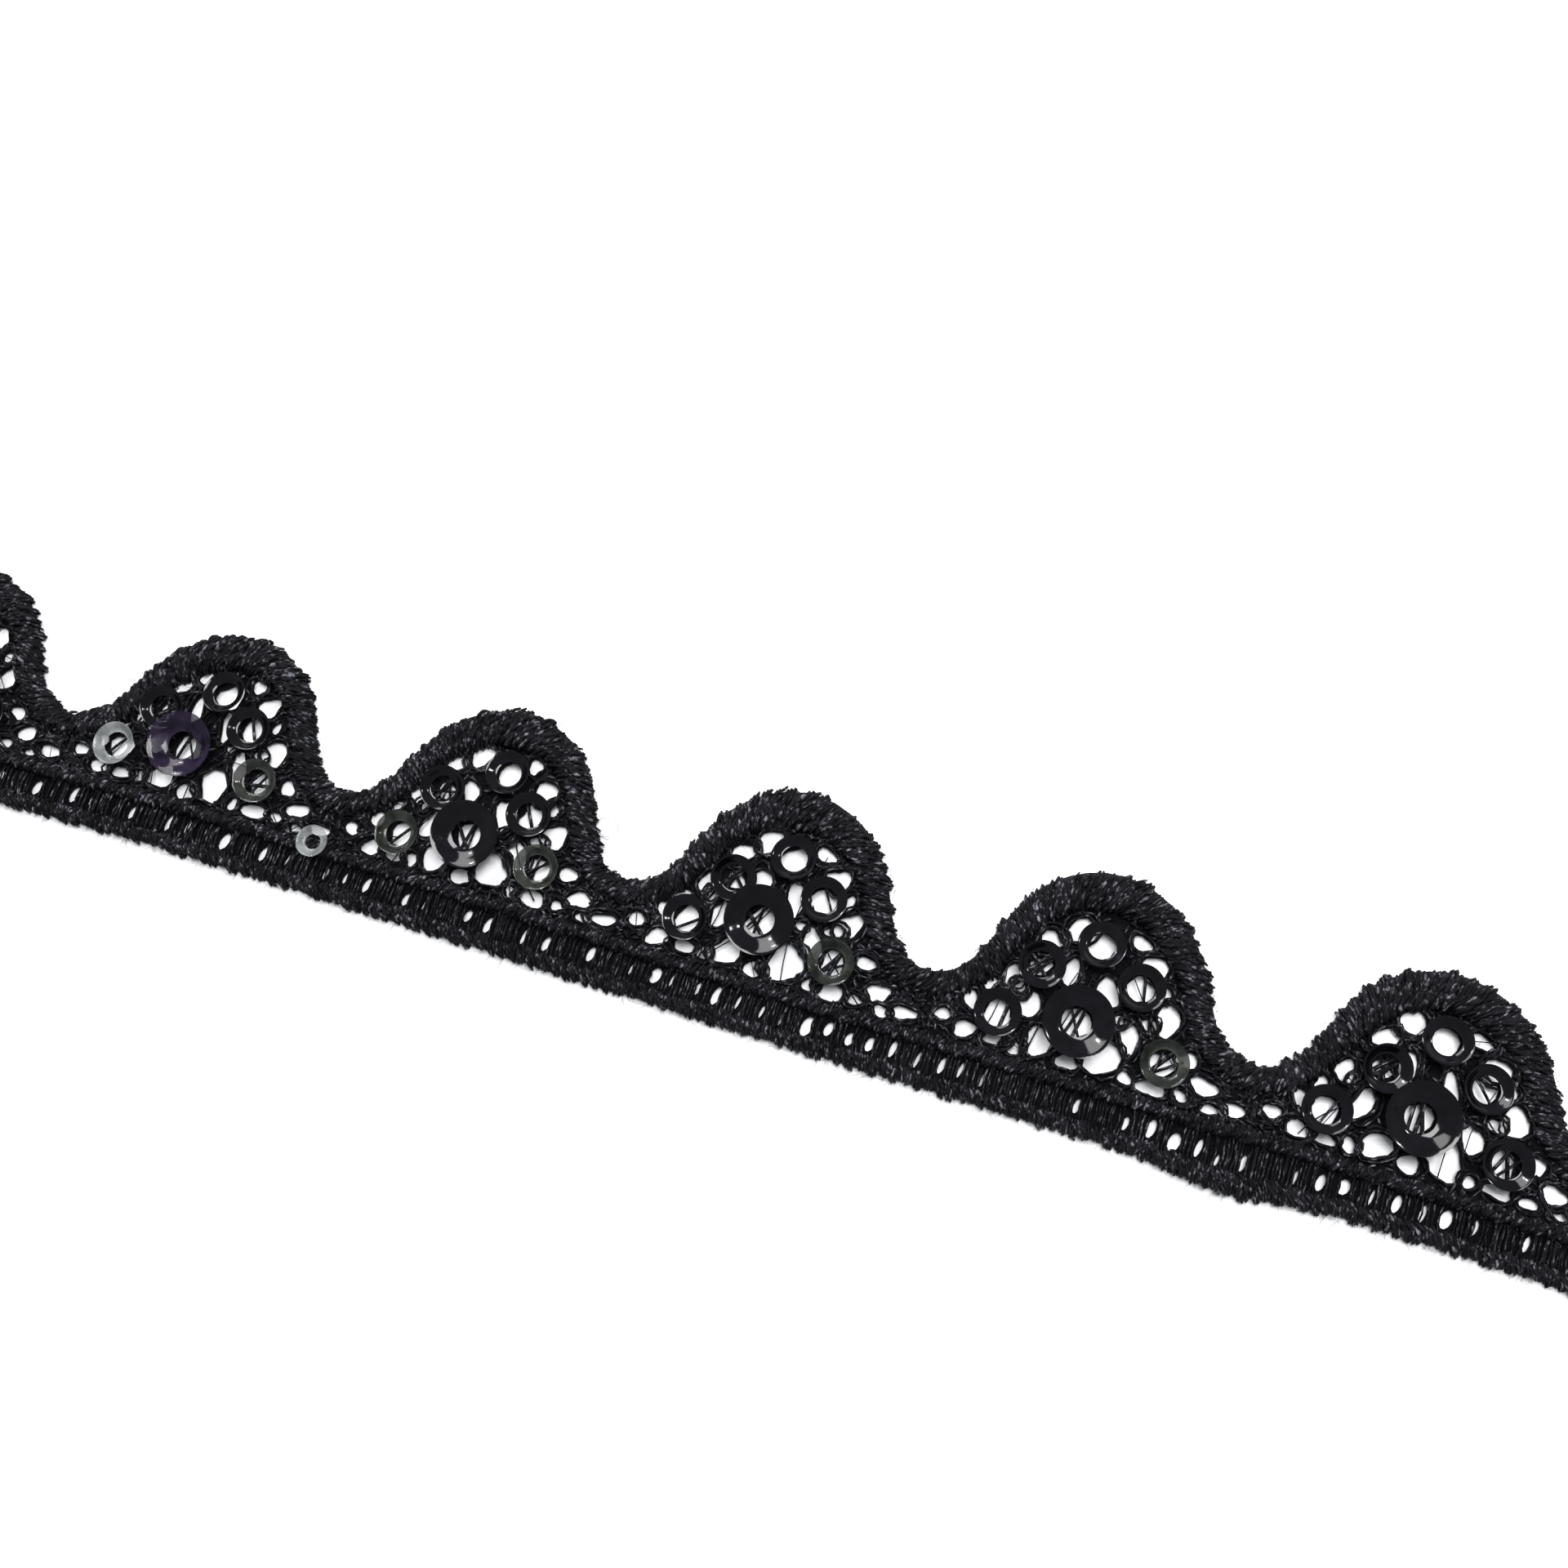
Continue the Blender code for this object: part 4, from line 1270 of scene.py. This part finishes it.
@dataclass
class Fuzz:
    """Fine hairs along the worked edges, and the few loose fibres that curl out of them.

    The curls' table has columns column, v, radius and turn, in chart squares and degrees.
    """

    border_hairs: int = 1500
    header_hairs: int = 900
    hair_radius: tuple = (0.006 * MM, 0.011 * MM)
    hair_across: tuple = (0.31, 0.22, 0.93)
    curl_radius: float = 0.018 * MM
    curls: tuple = ((-60.2, 12.2, 1.1, 0.0), (-54.7, 14.4, 0.7, 60.0), (-14.9, 12.5, 0.9, 200.0))

    def hairs(self, threads: ThreadMesh, line: RowLine, stitch: Stitch, count: int,
              rng: np.random.Generator) -> None:
        """Let hairs stand out of a row.

        Args:
            threads: where the hairs are added.
            line: the row.
            stitch: how it is wrapped.
            count: how many hairs.
            rng: the random numbers.
        """
        index = rng.integers(0, len(line.along), count)
        side = rng.choice((0.0, 180.0, 90.0), count, p=(0.6, 0.2, 0.2))
        angle = np.radians(side + rng.normal(0.0, 25.0, count))
        angle = np.clip(angle, math.radians(-5), math.radians(185))
        half, height = line.width[index] / 2, stitch.height_of(line)[index]
        out, run = line.out[index], line.run[index]
        across, rise = np.cos(angle) * half, np.sin(angle) * height
        foot = line.centre[index] + out * across[:, None]
        start = np.concatenate([foot, (stitch.lift + rise)[:, None]], axis=1)
        away = np.concatenate([out * np.cos(angle)[:, None], (0.25 + np.sin(angle))[:, None] * 0.6], axis=1)
        aside = np.concatenate([run, np.zeros((count, 1))], axis=1)
        way = away + aside * rng.normal(0.0, 0.8, (count, 1))
        way /= np.linalg.norm(way, axis=1, keepdims=True)
        curl = rng.normal(0.0, 0.6, (count, 3)) * (1.0, 1.0, 0.3)
        length = rng.gamma(2.0, 0.18, count).clip(0.12, 1.5) * MM
        share = np.linspace(0.0, 1.0, 5)[None, :, None]
        paths = start[:, None] + length[:, None, None] * (way[:, None] * share + curl[:, None] * share ** 2)
        paths[..., 2] = np.maximum(paths[..., 2], 0.03 * MM)
        threads.add(paths, rng.uniform(*self.hair_radius, (count, 1)), np.array(self.hair_across), 3)

    def curl(self, threads: ThreadMesh, tape: Tape, row: tuple) -> None:
        """Add one loose fibre that curls over the table.

        Args:
            threads: where it is added.
            tape: where the trim lies.
            row: its row of the curls' table.
        """
        column, v, radius, turn = row
        share = np.linspace(0.0, 1.0, 26)
        angle = math.radians(turn) + share * 2 * math.pi * 1.25
        size = radius * (1.0 + 0.25 * share)
        middle = tape.place(np.array(column), np.array(v))
        x = middle[0] + np.cos(angle) * size * MM
        y = middle[1] + np.sin(angle) * size * MM * 0.85
        z = (0.1 + 0.5 * np.sin(math.pi * share)) * MM
        paths = np.stack([x, y, z], axis=1)[None]
        threads.add(paths, self.curl_radius, UP, 4)

    def build(self, tape: Tape, border: Border, header: Header,
              thread: bpy.types.Material) -> list[bpy.types.Object]:
        """Make the hairs.

        Args:
            tape: where the trim lies.
            border: the border they stand out of.
            header: the header they stand out of.
            thread: the thread's material.

        Returns:
            The one piece, in a list.
        """
        rng = np.random.default_rng(61)
        threads = ThreadMesh("loose_fibres")
        self.hairs(threads, border.line(tape), border.stitch, self.border_hairs, rng)
        self.hairs(threads, header.row(tape, header.lower_v, header.lower_width, True), header.stitch,
                   self.header_hairs, rng)
        for row in self.curls:
            self.curl(threads, tape, row)
        return [threads.build(thread)]


@dataclass
class Studio:
    """The pale table, the lamps and the camera.

    The lamps' table has columns name, place, size in metres and power in watts.
    """

    camera_place: tuple = (0.02195, -0.01673, 0.13828)
    camera_turn: tuple = (14.04, 6.266, 17.753)
    lens: float = 37.5
    sensor: float = 36.0
    nearest: float = 0.01
    table_size: float = 4.0
    sky: tuple = (0.92, 0.95, 1.0, 1.0)
    sky_strength: float = 0.30
    lamps: tuple = (
        ("window", (-0.45, 0.55, 0.62), 0.50, 6.0),
        ("ceiling", (0.05, 0.10, 0.42), 0.20, 2.1),
        ("glint_left", (-0.34, 0.26, 0.32), 0.05, 0.45),
        ("glint_right", (0.40, 0.24, 0.34), 0.05, 0.45),
    )

    def floor(self) -> None:
        """Lay the table top under the trim."""
        deselect_all()
        bpy.ops.mesh.primitive_plane_add(size=self.table_size)
        table = bpy.context.active_object
        table.name = "table_top"
        dress(table, TableFinish().material())

    def light(self) -> None:
        """Hang the lamps and light the room."""
        world = bpy.data.worlds.new("room")
        bpy.context.scene.world = world
        world.use_nodes = True
        sky = world.node_tree.nodes["Background"]
        sky.inputs["Color"].default_value = self.sky
        sky.inputs["Strength"].default_value = self.sky_strength
        for name, place, size, power in self.lamps:
            deselect_all()
            bpy.ops.object.light_add(type="AREA", location=place)
            lamp = bpy.context.active_object
            lamp.name = name
            lamp.data.size, lamp.data.energy = size, power
            lamp.rotation_euler = Vector(place).to_track_quat("Z", "Y").to_euler()

    def aim(self) -> None:
        """Set the camera where the photograph was taken from."""
        deselect_all()
        turn = tuple(math.radians(angle) for angle in self.camera_turn)
        bpy.ops.object.camera_add(location=self.camera_place, rotation=turn)
        camera = bpy.context.active_object
        camera.data.lens = self.lens
        camera.data.sensor_width = self.sensor
        camera.data.clip_start = self.nearest
        bpy.context.scene.camera = camera
        bpy.context.scene.view_settings.view_transform = "Standard"

    def build(self) -> None:
        """Set the whole studio."""
        self.aim()
        self.floor()
        self.light()
        log.info("studio: %d lamps", len(self.lamps))


def main() -> None:
    """Build the studio and the trim, piece by piece."""
    logging.basicConfig(level=logging.INFO, format="%(message)s")
    Studio().build()
    tape, border, header, net = Tape(), Border(), Header(), Net()
    thread = ThreadFinish().material()
    sheet, sewn = net.build(tape, border, header, GroundFinish().material(), thread)
    sewn += border.build(tape, thread)
    sewn += header.build(tape, thread)
    sewn += Sequins().build()
    sewn += Fuzz().build(tape, border, header, thread)
    net.declare(sheet, sewn)


if __name__ == "__main__":
    main()
